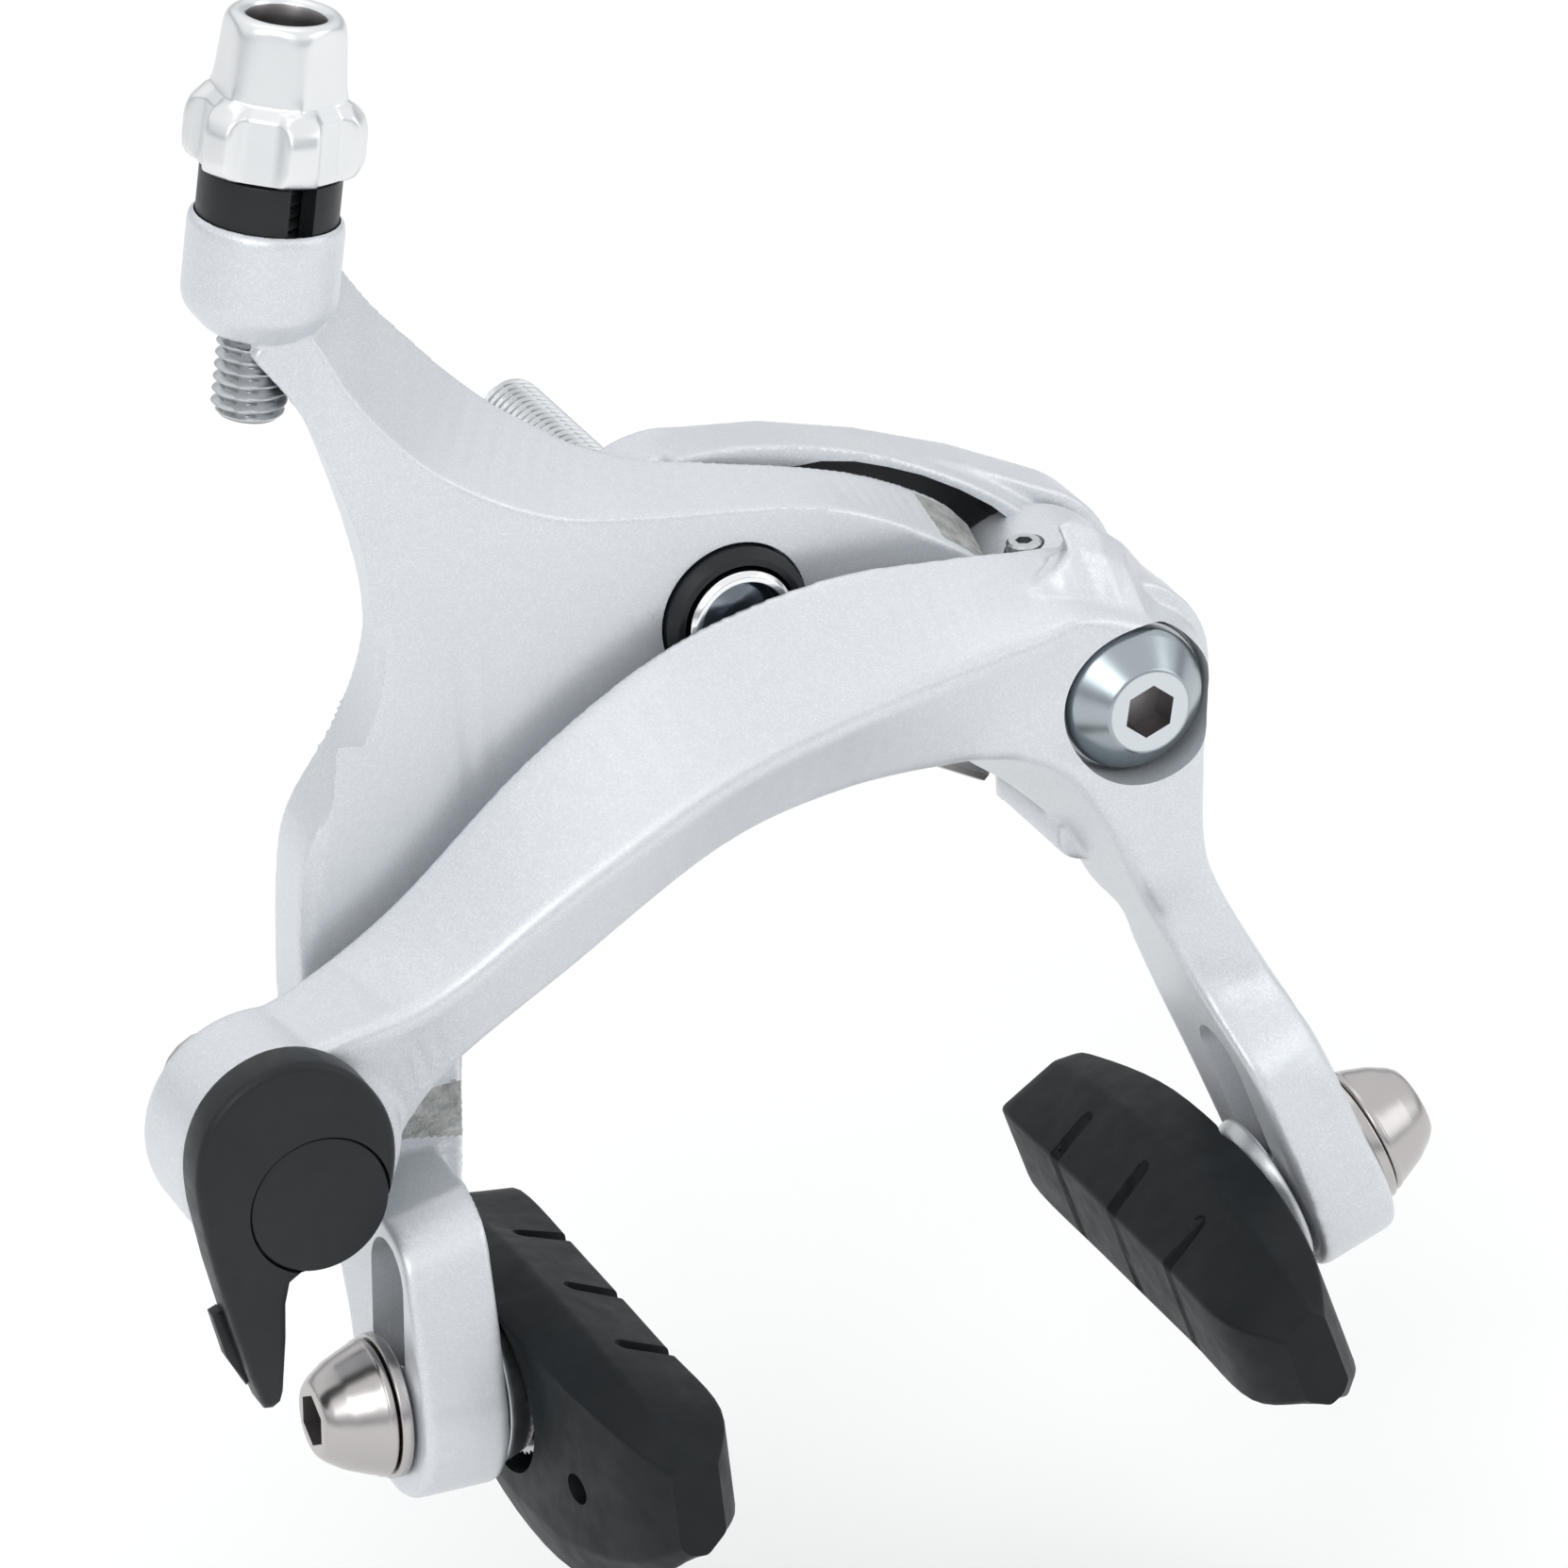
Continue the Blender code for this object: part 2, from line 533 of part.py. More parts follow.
def c_arm_body():
    """From the quick release along the bar, round the side pivot and down the right leg."""
    half = 0.5 * LEG_THICKNESS
    outer_back = [(-48.0, -21.6, -23.2), (-42.0, -21.6, -21.9), (-32.2, -21.6, -16.4), (-19.8, -21.6, -6.4),
                  (-7.0, -21.6, 0.7), (6.4, -21.6, 3.4), (17.3, -21.6, 2.7), (30.0, -20.4, 0.0),
                  (39.0, -20.0, -6.0), (40.0, -20.6, -15.0), (38.4, -21.4, -22.6), (39.0, -20.6, -29.5),
                  (42.0, -20.2, -37.0)]
    outer_front = [(-47.0, -31.0, -24.0), (-41.0, -31.4, -22.4), (-32.0, -31.8, -20.6), (-20.0, -32.0, -14.2),
                   (-6.0, -32.0, -7.8), (5.0, -32.0, -4.8), (15.0, -31.8, -3.0), (27.0, -30.8, -1.6),
                   (36.2, -30.6, -6.6), (36.2, -31.0, -16.1), (35.3, -31.8, -22.6), (36.9, -32.3, -28.3),
                   (41.2, -32.6, -36.6)]
    inner_front = [(-43.0, -31.0, -38.5), (-37.5, -30.6, -34.8), (-31.4, -30.0, -28.7), (-20.4, -29.6, -22.6),
                   (-6.4, -29.0, -15.3), (4.4, -29.0, -12.9), (14.4, -29.0, -12.8), (20.4, -29.4, -13.6),
                   (24.4, -30.2, -15.6), (27.6, -31.0, -21.0), (29.6, -31.0, -26.6), (32.0, -30.4, -31.8),
                   (34.2, -33.6, -36.9)]
    inner_back = [(-43.0, -21.6, -38.5), (-37.5, -21.6, -34.4), (-31.4, -21.6, -27.2), (-20.8, -21.6, -19.4),
                  (-6.7, -21.6, -11.8), (4.2, -21.6, -9.6), (13.4, -21.6, -12.4), (18.8, -21.4, -16.8),
                  (22.8, -21.2, -20.2), (27.0, -21.0, -24.8), (30.0, -20.5, -30.3), (33.2, -19.6, -34.4),
                  (34.6, -19.2, -38.0)]
    for outer_rise, inner_rise, outer, inner, back in ((14.7, 16.0, -36.0, -39.2, -20.6),
                                                       (8.5, 9.0, -38.4, -39.9, -22.4),
                                                       (0.0, 0.0, -40.0, -40.0, -24.0)):
        outer_back.append(leg_edge(RIGHT_BOLT, RIGHT_TILT, half, back, outer_rise))
        outer_front.append(leg_edge(RIGHT_BOLT, RIGHT_TILT, half, outer, outer_rise))
        inner_front.append(leg_edge(RIGHT_BOLT, RIGHT_TILT, -half, inner, inner_rise))
        inner_back.append(leg_edge(RIGHT_BOLT, RIGHT_TILT, -half, back, inner_rise))
    return edge_loft("c_arm", [outer_back, outer_front, inner_front, inner_back], 1.6, SILVER)


def make_c_arm():
    arm = c_arm_body()
    depth = 9.6
    boss_profile = [(0.0, depth), (QR_BOSS_RADIUS - 1.2, depth), (QR_BOSS_RADIUS, depth - 1.2),
                    (QR_BOSS_RADIUS, 0.8), (QR_BOSS_RADIUS - 0.8, 0.0), (0.0, 0.0)]
    boss = along_y(turned("c_arm_boss", boss_profile, None), QR_X - 0.4, QR_Z + 2.2, C_ARM_BACK)
    boolean(arm, boss, "UNION")
    hub = rod("c_arm_hub", PIVOT_HUB_RADIUS, 18.0, sides=28)
    along_y(hub, PIVOT_X, PIVOT_Z, BRACKET_FRONT - 2 * GAP)
    boolean(arm, hub, "UNION")
    boolean(arm, leg_end("c_arm_foot", RIGHT_BOLT, RIGHT_TILT), "UNION")
    lug = along_y(rod("c_arm_spring_lug", 2.6, 12.0, sides=20), 28.6, -24.6, C_ARM_BACK + 9.8)
    boolean(arm, lug, "UNION")
    boolean(arm, along_y(rod("c_arm_bore", PIVOT_BUSH_RADIUS + GAP, 40.0), PIVOT_X, PIVOT_Z, 0.0))
    recess = rod("c_arm_recess", 6.6, 8.0, sides=28)
    along_y(recess, PIVOT_X, PIVOT_Z, PIVOT_HEAD_FACE + 3.4 + 2 * GAP + 0.7)
    boolean(arm, recess)
    boolean(arm, along_y(rod("c_arm_cam_bore", 4.0, 30.0), QR_X, QR_Z, -10.0))
    boolean(arm, slot_cutter("c_arm_slot", RIGHT_BOLT, RIGHT_TILT, RIGHT_SLOT_TRAVEL))
    screw = rod("c_arm_screw_bore", 1.5 + GAP, 12.0, sides=20)
    place(screw, (SCREW_X, SCREW_Y, -4.8), (0.0, 0.0, 1.0))
    return boolean(arm, screw)


def make_side_pivot_bush():
    length = 20.0
    profile = [(3.0 + GAP, length), (PIVOT_BUSH_RADIUS, length), (PIVOT_BUSH_RADIUS, 0.0), (3.0 + GAP, 0.0)]
    return along_y(turned("side_pivot_bush", profile, NYLON), PIVOT_X, PIVOT_Z, BRACKET_FRONT - 2 * GAP)


def make_centering_screw():
    profile = [(0.0, 3.4), (1.3, 3.4), (1.5, 3.2), (1.5, 0.4), (1.2, 0.0), (0.0, 0.0)]
    screw = turned("centering_screw", profile, ZINC, steps=16)
    place(screw, (SCREW_X, SCREW_Y, -4.4), (0.0, 0.0, 1.0))
    socket = place(rod("centering_screw_socket", 0.75, 4.0, sides=6), (0.0, 0.0, 1.8), None, screw)
    return boolean(screw, socket)


def lever_outline():
    """The lever's plate seen from the front, about the cam's axis."""
    head = arc((-1.7, 4.4), 8.3, -52.0, 196.0, 24)
    outer = [(-10.6, -1.0), (-10.0, -6.0), (-9.0, -9.6), (-9.7, -10.6), (-8.4, -11.4), (-7.4, -15.0),
             (-6.0, -17.4)]
    tip = [(-5.0, -18.0), (-4.2, -17.2)]
    inner = [(-3.6, -13.0), (-3.1, -8.0), (-2.2, -6.6), (0.0, -6.3), (2.4, -4.6)]
    return head + outer + tip + inner


def make_quick_release_lever():
    lever = plate("quick_release_lever", lever_outline(), 4.0, BLACK)
    lever.location = Vector((QR_X, -33.4, QR_Z)) * MM
    hole = along_y(rod("lever_cap_seat", 5.9 + GAP, 4.0, sides=28), QR_X, QR_Z, -34.0)
    boolean(lever, hole)
    return boolean(lever, along_y(rod("lever_cam_hole", 3.2 + GAP, 12.0), QR_X, QR_Z, -28.0))


def make_quick_release_cap():
    profile = [(0.0, 1.2), (5.5, 1.2), (5.9, 0.9), (5.9, 0.0), (0.0, 0.0)]
    return along_y(turned("quick_release_cap", profile, BLACK, steps=28), QR_X, QR_Z, -34.0 - GAP)


def make_quick_release_cam():
    """The cam's shaft through the c-arm, with the cable clamp's seat behind it."""
    profile = [(0.0, 16.8), (3.2, 16.8), (3.2, 14.6), (3.7, 14.4),
               (3.7, 4.4), (4.5, 4.2), (4.5, 0.0), (0.0, 0.0)]
    cam = along_y(turned("quick_release_cam", profile, ZINC), QR_X, QR_Z, -16.8)
    return boolean(cam, along_y(rod("cam_thread_hole", 2.5 + GAP, 9.0), QR_X, QR_Z, -15.0))


def make_cable_anchor_plate():
    body = block("cable_anchor_plate", (9.4, 1.6, 9.0), ZINC)
    body.location = Vector((QR_X - 0.3, -15.7, QR_Z - 0.6)) * MM
    boolean(body, along_y(rod("anchor_plate_hole", 2.5 + GAP, 6.0), QR_X, QR_Z, -13.0))
    groove = rod("anchor_plate_groove", 0.9, 16.0, sides=12)
    place(groove, (QR_X - 3.6, -16.5, QR_Z - 8.0), (0.0, 0.0, 1.0))
    return boolean(body, groove)


def make_cable_anchor_bolt():
    profile = [(0.0, 13.0), (2.2, 13.0), (2.5, 12.6), (2.5, 4.2),
               (4.2, 4.2), (4.2, 0.4), (3.8, 0.0), (0.0, 0.0)]
    bolt = along_y(turned("cable_anchor_bolt", profile, STEEL), QR_X, QR_Z, -10.4)
    socket = along_y(rod("anchor_bolt_socket", 2.3, 4.0, sides=6), QR_X, QR_Z, -9.0)
    return boolean(bolt, socket)


# ---------------------------------------------------------------- brake shoes

def pad_edges(side, shift):
    """The pad's long edges from its back end to its front end, in the shoe's own frame."""
    stations = (23.5, 21.5, 8.0, -8.0, -19.0, -24.5)
    face = ((15.6, 2.4), (PAD_FACE, 4.2), (PAD_FACE, 4.6), (PAD_FACE, 4.6), (PAD_FACE, 4.5), (14.2, 3.2))
    ridge = ((10.9, 4.4), (10.8, 5.6), (10.6, 8.0), (10.6, 8.2), (10.8, 6.8), (11.2, 4.6))
    back = ((9.0, 3.8), (8.0, 5.0), (6.0, 7.2), (6.0, 7.2), (7.6, 5.8), (10.2, 3.4))
    lip = ((8.6, -4.0), (7.2, -6.4), (5.4, -9.0), (5.4, -9.0), (7.6, -6.8), (10.2, -3.4))
    toe = ((9.4, -5.4), (8.4, -9.0), (6.6, -13.2), (6.6, -13.4), (9.2, -9.0), (11.0, -4.4))
    low_ridge = ((12.0, -5.4), (11.9, -7.4), (11.6, -9.0), (11.6, -9.0), (11.9, -7.2), (12.4, -4.8))
    low_face = tuple((x, -z) for x, z in face)
    lines = []
    for edge in (face, ridge, back, lip, toe, low_ridge, low_face):
        lines.append([(side * x, y + shift, z) for y, (x, z) in zip(stations, edge)])
    return lines


def make_shoe(name, side, frame, turn):
    """The rubber pad. It is turned about its seat on the bolt, across the bolt's axis."""
    seat = bpy.data.objects.new(name + "_seat", None)
    PARTS.objects.link(seat)
    seat.parent = frame
    seat.rotation_euler = (0.0, math.radians(turn), 0.0)
    turned_seat = Matrix.Rotation(math.radians(turn), 3, "Y") @ Vector((side * PAD_SEAT, 0.0, 0.0))
    seat.location = (Vector((side * PAD_SEAT, 0.0, 0.0)) - turned_seat) * MM
    shift = PAD_SHIFT[name]
    pad = edge_loft(name, pad_edges(side, shift), 0.7, RUBBER, between=1)
    pad.parent = seat
    for i, y in enumerate(PAD_GROOVES):
        groove = block("%s_groove_%d" % (name, i), (8.0, 1.3, 24.0))
        groove.location = Vector((side * (PAD_FACE + 0.1), y + shift, 0.0)) * MM
        groove.parent = seat
        boolean(pad, groove)
    pocket = rod(name + "_pocket", PAD_POCKET_RADIUS, PAD_SEAT, sides=28)
    boolean(pad, place(pocket, (0.0, 0.0, 0.0), (side, 0.0, 0.0), seat))
    hole = rod(name + "_stud_hole", 3.6 + GAP + 0.5, 9.0)
    boolean(pad, place(hole, (side * 4.4, 0.0, 0.0), (side, 0.0, 0.0), seat))
    profile = [(3.6 + GAP, 0.5), (7.1, 0.5), (7.1, 0.0), (3.6 + GAP, 0.0)]
    plate_base = (side * (PAD_SEAT - 0.6), 0.0, 0.0)
    place(turned(name + "_plate", profile, ZINC, steps=28), plate_base, (side, 0.0, 0.0), seat)
    drain = rod(name + "_drain", 0.9, 9.0, sides=10)
    return boolean(pad, place(drain, (side * 3.0, shift - 13.0, -2.6), (side, 0.0, 0.0), seat))


def make_shoe_hardware(name, side, frame):
    """The stud, washers and dome nut. Each turned piece's Z points inwards."""
    half = 0.5 * LEG_THICKNESS
    inward = (side, 0.0, 0.0)
    stud = [(0.0, 20.8), (3.6, 20.8), (3.6, 17.4), (3.0, 17.2), (3.0, 0.5), (2.5, 0.0), (0.0, 0.0)]
    place(turned(name + "_shoe_stud", stud, STEEL), (-side * 8.4, 0.0, 0.0), inward, frame)
    bore = 3.0 + GAP
    nut = [(0.0, 5.2), (2.9, 5.2), (3.4, 5.0), (4.4, 3.4), (5.3, 1.2), (5.5, 0.0), (0.0, 0.0)]
    dome = turned(name + "_dome_nut", nut, STEEL)
    place(dome, (-side * (half + 1.0 + 2 * GAP), 0.0, 0.0), (-side, 0.0, 0.0), frame)
    boolean(dome, place(rod(name + "_nut_bore", bore, 4.0), (0.0, 0.0, -0.6), None, dome))
    boolean(dome, place(rod(name + "_nut_socket", 2.31, 4.0, sides=6), (0.0, 0.0, 2.6), None, dome))
    outer = [(bore, 1.0), (6.0, 1.0), (6.0, 0.0), (bore, 0.0)]
    place(turned(name + "_outer_washer", outer, STEEL), (-side * (half + 1.0 + GAP), 0.0, 0.0), inward, frame)
    disc = [(bore, 2.6), (6.0, 2.6), (6.8, 0.4), (6.8, 0.0), (bore, 0.0)]
    place(turned(name + "_spacer_disc", disc, ZINC), (side * (half + GAP), 0.0, 0.0), inward, frame)
    toothed = [(bore, 1.6), (5.2, 1.6), (6.2, 1.0), (6.6, 0.0), (bore, 0.0)]
    washer = turned(name + "_serrated_washer", toothed, STEEL)
    place(washer, (side * (half + 2.6 + 2 * GAP), 0.0, 0.0), inward, frame)


def make_spring_sliders():
    left = block("spring_slider_left", (5.0, 1.2, 4.0), NYLON)
    left.location = Vector((-29.4, -10.6, -27.2)) * MM
    right = block("spring_slider_right", (4.0, 1.2, 4.0), NYLON)
    right.location = Vector((28.8, -10.9, -24.6)) * MM


def main():
    make_centre_bolt()
    make_centre_nut()
    make_centre_seal_ring()
    make_toothed_washer()
    make_hub_thrust_washer()
    make_bracket()
    make_side_pivot_bolt()
    make_side_pivot_washer()
    make_side_pivot_bush()
    make_return_spring()
    make_y_arm()
    make_adjuster_collar()
    make_adjuster_barrel()
    make_adjuster_bolt()
    make_c_arm()
    make_centering_screw()
    make_quick_release_lever()
    make_quick_release_cap()
    make_quick_release_cam()
    make_cable_anchor_plate()
    make_cable_anchor_bolt()
    make_spring_sliders()
    for name, side, bolt, tilt, pad_tilt in (("left", 1, LEFT_BOLT, LEFT_TILT, LEFT_PAD_TILT),
                                             ("right", -1, RIGHT_BOLT, RIGHT_TILT, RIGHT_PAD_TILT)):
        frame = frame_of_bolt(name + "_shoe_frame", bolt, tilt)
        make_shoe(name + "_shoe", side, frame, pad_tilt - tilt)
        make_shoe_hardware(name, side, frame)


main()
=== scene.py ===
"""Looks for the dual-pivot rim brake caliper: detailed pieces, materials, studio and camera.

Lengths are in millimetres until a mesh is made. +Y runs back along the centre bolt, +Z is up.
"""

import json
import math

import bmesh
import bpy
from mathutils import Matrix, Vector


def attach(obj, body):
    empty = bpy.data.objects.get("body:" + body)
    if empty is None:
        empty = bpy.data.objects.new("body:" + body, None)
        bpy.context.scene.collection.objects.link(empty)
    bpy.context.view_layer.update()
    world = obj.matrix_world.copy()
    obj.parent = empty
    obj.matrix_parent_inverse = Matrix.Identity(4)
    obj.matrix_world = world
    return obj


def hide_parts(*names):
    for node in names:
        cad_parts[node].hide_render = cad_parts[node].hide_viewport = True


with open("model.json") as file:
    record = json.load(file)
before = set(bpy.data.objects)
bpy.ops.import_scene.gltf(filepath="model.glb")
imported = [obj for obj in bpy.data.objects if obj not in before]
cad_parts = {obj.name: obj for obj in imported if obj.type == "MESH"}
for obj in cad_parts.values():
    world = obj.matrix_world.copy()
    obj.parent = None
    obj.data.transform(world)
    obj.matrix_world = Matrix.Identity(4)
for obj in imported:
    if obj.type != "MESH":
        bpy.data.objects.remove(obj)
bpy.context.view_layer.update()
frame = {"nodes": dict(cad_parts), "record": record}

MM = 0.001
ARM_VOXEL = 0.26
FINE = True

RECORD = frame["record"]
BODY_OF = {node: body for body, nodes in RECORD["behaviour"]["bodies"].items() for node in nodes}
SLOT_OF = {part["node"]: part["material_slot"] for part in RECORD["subparts"]}

# ---------------------------------------------------------------- layout, as in the CAD

BOSS_CENTRE = Vector((-36.6, -14.0, 34.8))
BOSS_TILT = 9.9
BOSS_RADIUS = 6.2
BOSS_HALF = 5.5
PIVOT = (30.2, -9.9)
PIVOT_HEAD_FACE = -33.0
QR = (-44.9, -34.2)
SHOE_Y = -32.0
BOLT = {"left": (-35.4, -55.9), "right": (44.6, -56.3)}
LEG_TILT = {"left": 2.4, "right": -19.0}
PAD_TILT = {"left": -4.0, "right": -18.0}
SIDE = {"left": 1.0, "right": -1.0}
LEG_HALF = 3.65
FOOT_RADIUS = 8.0
PAD_SEAT = 9.9
PAD_FACE = 17.1
PAD_SHIFT = {"left": -1.2, "right": 1.4}
PAD_GROOVES = (11.7, 0.9, -9.4)
SLOT_TRAVEL = {"left": 11.5, "right": 14.0}
SLOT_HALF = 3.4
SPRING_LUG = (28.6, -11.8, -24.6)
STUD_RADIUS = 3.0
THREAD_PITCH = 1.0
THREAD_ROOT = 2.72
STUD_HOLE = 3.3
KEY_ACROSS = 4.0
KEY_REACH = 2.36
WASHER_GAP = 0.3
ORIGIN = (0.0, 0.0, 0.0)
FORWARD = (0.0, -1.0, 0.0)
BACKWARD = (0.0, 1.0, 0.0)


# ---------------------------------------------------------------- mesh helpers

def add(name, bm):
    bmesh.ops.recalc_face_normals(bm, faces=bm.faces)
    mesh = bpy.data.meshes.new(name)
    bm.to_mesh(mesh)
    bm.free()
    obj = bpy.data.objects.new(name, mesh)
    bpy.context.scene.collection.objects.link(obj)
    return obj


def bake(obj):
    """Applies an object's modifiers to its mesh."""
    graph = bpy.context.evaluated_depsgraph_get()
    made = bpy.data.meshes.new_from_object(obj.evaluated_get(graph))
    obj.modifiers.clear()
    obj.data = made
    return obj


def drop(*objects):
    for obj in objects:
        bpy.data.objects.remove(obj, do_unlink=True)


def stand(point, axis, spin=0.0):
    """A matrix that puts Z along axis, with the origin at a point in millimetres."""
    turn = Vector((0.0, 0.0, 1.0)).rotation_difference(Vector(axis)).to_matrix().to_4x4()
    return Matrix.Translation(Vector(point) * MM) @ turn @ Matrix.Rotation(math.radians(spin), 4, "Z")


def moved(obj, matrix):
    obj.data.transform(matrix)
    return obj


def curve_through(points, between):
    """A Catmull-Rom curve through the points, with the given number of steps between them."""
    line = []
    last = len(points) - 1
    for i in range(last):
        p0, p1 = Vector(points[max(i - 1, 0)]), Vector(points[i])
        p2, p3 = Vector(points[i + 1]), Vector(points[min(i + 2, last)])
        for step in range(between):
            t = step / between
            line.append(0.5 * (2.0 * p1 + (p2 - p0) * t + (2.0 * p0 - 5.0 * p1 + 4.0 * p2 - p3) * t ** 2
                               + (3.0 * p1 - p0 - 3.0 * p2 + p3) * t ** 3))
    line.append(Vector(points[-1]))
    return line


def soft_ring(corners, radius, steps, closed=True):
    """Corner points with each corner rounded by a small curve."""
    ring = []
    count = len(corners)
    for i, corner in enumerate(corners):
        if not closed and i in (0, count - 1):
            ring.append(corner.copy())
            continue
        back = corners[i - 1] - corner
        ahead = corners[(i + 1) % count] - corner
        start = corner + back.normalized() * min(radius, 0.47 * back.length)
        end = corner + ahead.normalized() * min(radius, 0.47 * ahead.length)
        for step in range(steps + 1):
            t = step / steps
            ring.append(start * (1 - t) ** 2 + corner * (2 * t * (1 - t)) + end * t ** 2)
    return ring


def bridge(bm, ring, after):
    count = len(ring)
    for i in range(count):
        j = (i + 1) % count
        bm.faces.new((ring[i], ring[j], after[j], after[i]))


def loft(name, edges, radius=1.5, between=6, steps=4):
    """A solid whose long edges follow the given lines of (x, y, z) points."""
    lines = [curve_through(edge, between) for edge in edges]
    bm = bmesh.new()
    rings = []
    for corners in zip(*lines):
        ring = soft_ring(list(corners), radius, steps)
        rings.append([bm.verts.new(point * MM) for point in ring])
    for ring, after in zip(rings, rings[1:]):
        bridge(bm, ring, after)
    bm.faces.new(rings[0])
    bm.faces.new(rings[-1])
    bmesh.ops.triangulate(bm, faces=bm.faces)
    return add(name, bm)


def lathe(name, profile, matrix, soft=0.0, steps=64, shape=None):
    """A solid of revolution about Z. shape(angle, radius, height) may change a point's radius."""
    closed = profile[0][0] > 0.0
    points = [Vector((r, h)) for r, h in profile]
    if soft:
        points = soft_ring(points, soft, 4, closed)
    bm = bmesh.new()
    rings = []
    for point in points:
        if point.x < 1e-6:
            rings.append([bm.verts.new((0.0, 0.0, point.y * MM))])
            continue
        ring = []
        for i in range(steps):
            angle = 2.0 * math.pi * i / steps
            radius = shape(angle, point.x, point.y) if shape else point.x
            spot = Vector((radius * math.cos(angle), radius * math.sin(angle), point.y))
            ring.append(bm.verts.new(spot * MM))
        rings.append(ring)
    pairs = list(zip(rings, rings[1:]))
    if closed:
        pairs.append((rings[-1], rings[0]))
    for ring, after in pairs:
        if len(ring) == len(after):
            bridge(bm, ring, after)
            continue
        pole, rim = (ring[0], after) if len(ring) == 1 else (after[0], ring)
        for i in range(steps):
            bm.faces.new((pole, rim[i], rim[(i + 1) % steps]))
    return moved(add(name, bm), matrix)


def prism(name, outline, low, high, matrix=None, bevel=0.0, segments=3):
    """A flat outline of (x, y) points, extruded along Z from low to high, with bevelled rims."""
    bm = bmesh.new()
    bottom = [bm.verts.new((x * MM, y * MM, low * MM)) for x, y in outline]
    top = [bm.verts.new((x * MM, y * MM, high * MM)) for x, y in outline]
    bridge(bm, bottom, top)
    caps = [bm.faces.new(bottom), bm.faces.new(top)]
    rims = [edge for cap in caps for edge in cap.edges]
    bmesh.ops.recalc_face_normals(bm, faces=bm.faces)
    if bevel:
        bmesh.ops.bevel(bm, geom=rims, offset=bevel * MM, segments=segments, profile=0.5,
                        affect="EDGES", clamp_overlap=True)
    bmesh.ops.triangulate(bm, faces=[face for face in bm.faces if len(face.verts) > 4])
    obj = add(name, bm)
    return moved(obj, matrix) if matrix else obj


def arc(centre, radius, start, end, count):
    angles = [math.radians(start + (end - start) * i / (count - 1)) for i in range(count)]
    return [(centre[0] + radius * math.cos(a), centre[1] + radius * math.sin(a)) for a in angles]


def toothed(teeth, corners):
    """An outline with teeth, each drawn by (share of a tooth, radius) corners."""
    outline = []
    for i in range(teeth):
        for offset, radius in corners:
            angle = 2.0 * math.pi * (i + offset) / teeth
            outline.append((radius * math.cos(angle), radius * math.sin(angle)))
    return outline


def front_plane():
    """Turns a drawing in (x, z) into the front view: its depth runs towards the front."""
    return Matrix.Rotation(math.radians(90.0), 4, "X")


def rod(name, radius, length, matrix, steps=48):
    return lathe(name, [(0.0, 0.0), (radius, 0.0), (radius, length), (0.0, length)], matrix, 0.0, steps)


def hexagon(name, across, length, matrix):
    radius = across / math.sqrt(3.0)
    angles = [math.radians(60 * i) for i in range(6)]
    corners = [(radius * math.cos(angle), radius * math.sin(angle)) for angle in angles]
    return prism(name, corners, 0.0, length, matrix)


def threaded(name, radius, start, end, pitch, matrix, bore=0.0, depth=0.55, chamfer=0.7):
    """A screw thread between two heights, with chamfered ends, open along a bore if there is one."""
    steps = 48
    rows = max(2, round((end - start) / pitch * 10))
    bm = bmesh.new()
    rings = []
    for k in range(rows + 1):
        height = start + (end - start) * k / rows
        limit = radius - max(0.0, chamfer - min(height - start, end - height))
        ring = []
        for i in range(steps):
            angle = 2.0 * math.pi * i / steps
            phase = (height / pitch - i / steps) % 1.0
            tooth = min(1.0, max(0.0, 2.6 * abs(phase - 0.5) - 0.15))
            r = min(limit, radius - depth * tooth)
            ring.append(bm.verts.new(Vector((r * math.cos(angle), r * math.sin(angle), height)) * MM))
        rings.append(ring)
    for ring, after in zip(rings, rings[1:]):
        bridge(bm, ring, after)
    if bore:
        for ring in (rings[0], rings[-1]):
            inner = []
            for vert in ring:
                wide = vert.co.xy.length / MM
                inner.append(bm.verts.new((vert.co.x * bore / wide, vert.co.y * bore / wide, vert.co.z)))
            bridge(bm, ring, inner)
            rings.append(inner)
        bridge(bm, rings[-2], rings[-1])
    else:
        bm.faces.new(rings[0])
        bm.faces.new(rings[-1])
    return moved(add(name, bm), matrix)


def cut(obj, *cutters, operation="DIFFERENCE"):
    """Cuts the cutters out of obj, or joins them to it, and removes them."""
    for cutter in cutters:
        modifier = obj.modifiers.new("cut", "BOOLEAN")
        modifier.operation = operation
        modifier.solver = "MANIFOLD"
        modifier.object = cutter
    bake(obj)
    drop(*cutters)
    return obj


def cast(name, solids, voxel, rounds):
    """Several overlapping solids as one soft-cornered casting."""
    bm = bmesh.new()
    for solid in solids:
        bm.from_mesh(solid.data)
    drop(*solids)
    obj = add(name, bm)
    if not FINE:
        voxel = 2.0 * voxel
        rounds = max(1, rounds // 4)
    remesh = obj.modifiers.new("remesh", "REMESH")
    remesh.mode = "VOXEL"
    remesh.voxel_size = voxel * MM
    smooth = obj.modifiers.new("smooth", "SMOOTH")
    smooth.factor = 0.5
    smooth.iterations = rounds
    return bake(obj)


def slab(name, front, back):
    """A solid between two matching outlines of (x, y, z) points."""
    bm = bmesh.new()
    near = [bm.verts.new(Vector(point) * MM) for point in front]
    far = [bm.verts.new(Vector(point) * MM) for point in back]
    bridge(bm, near, far)
    bm.faces.new(near)
    bm.faces.new(far)
    bmesh.ops.triangulate(bm, faces=bm.faces)
    return add(name, bm)


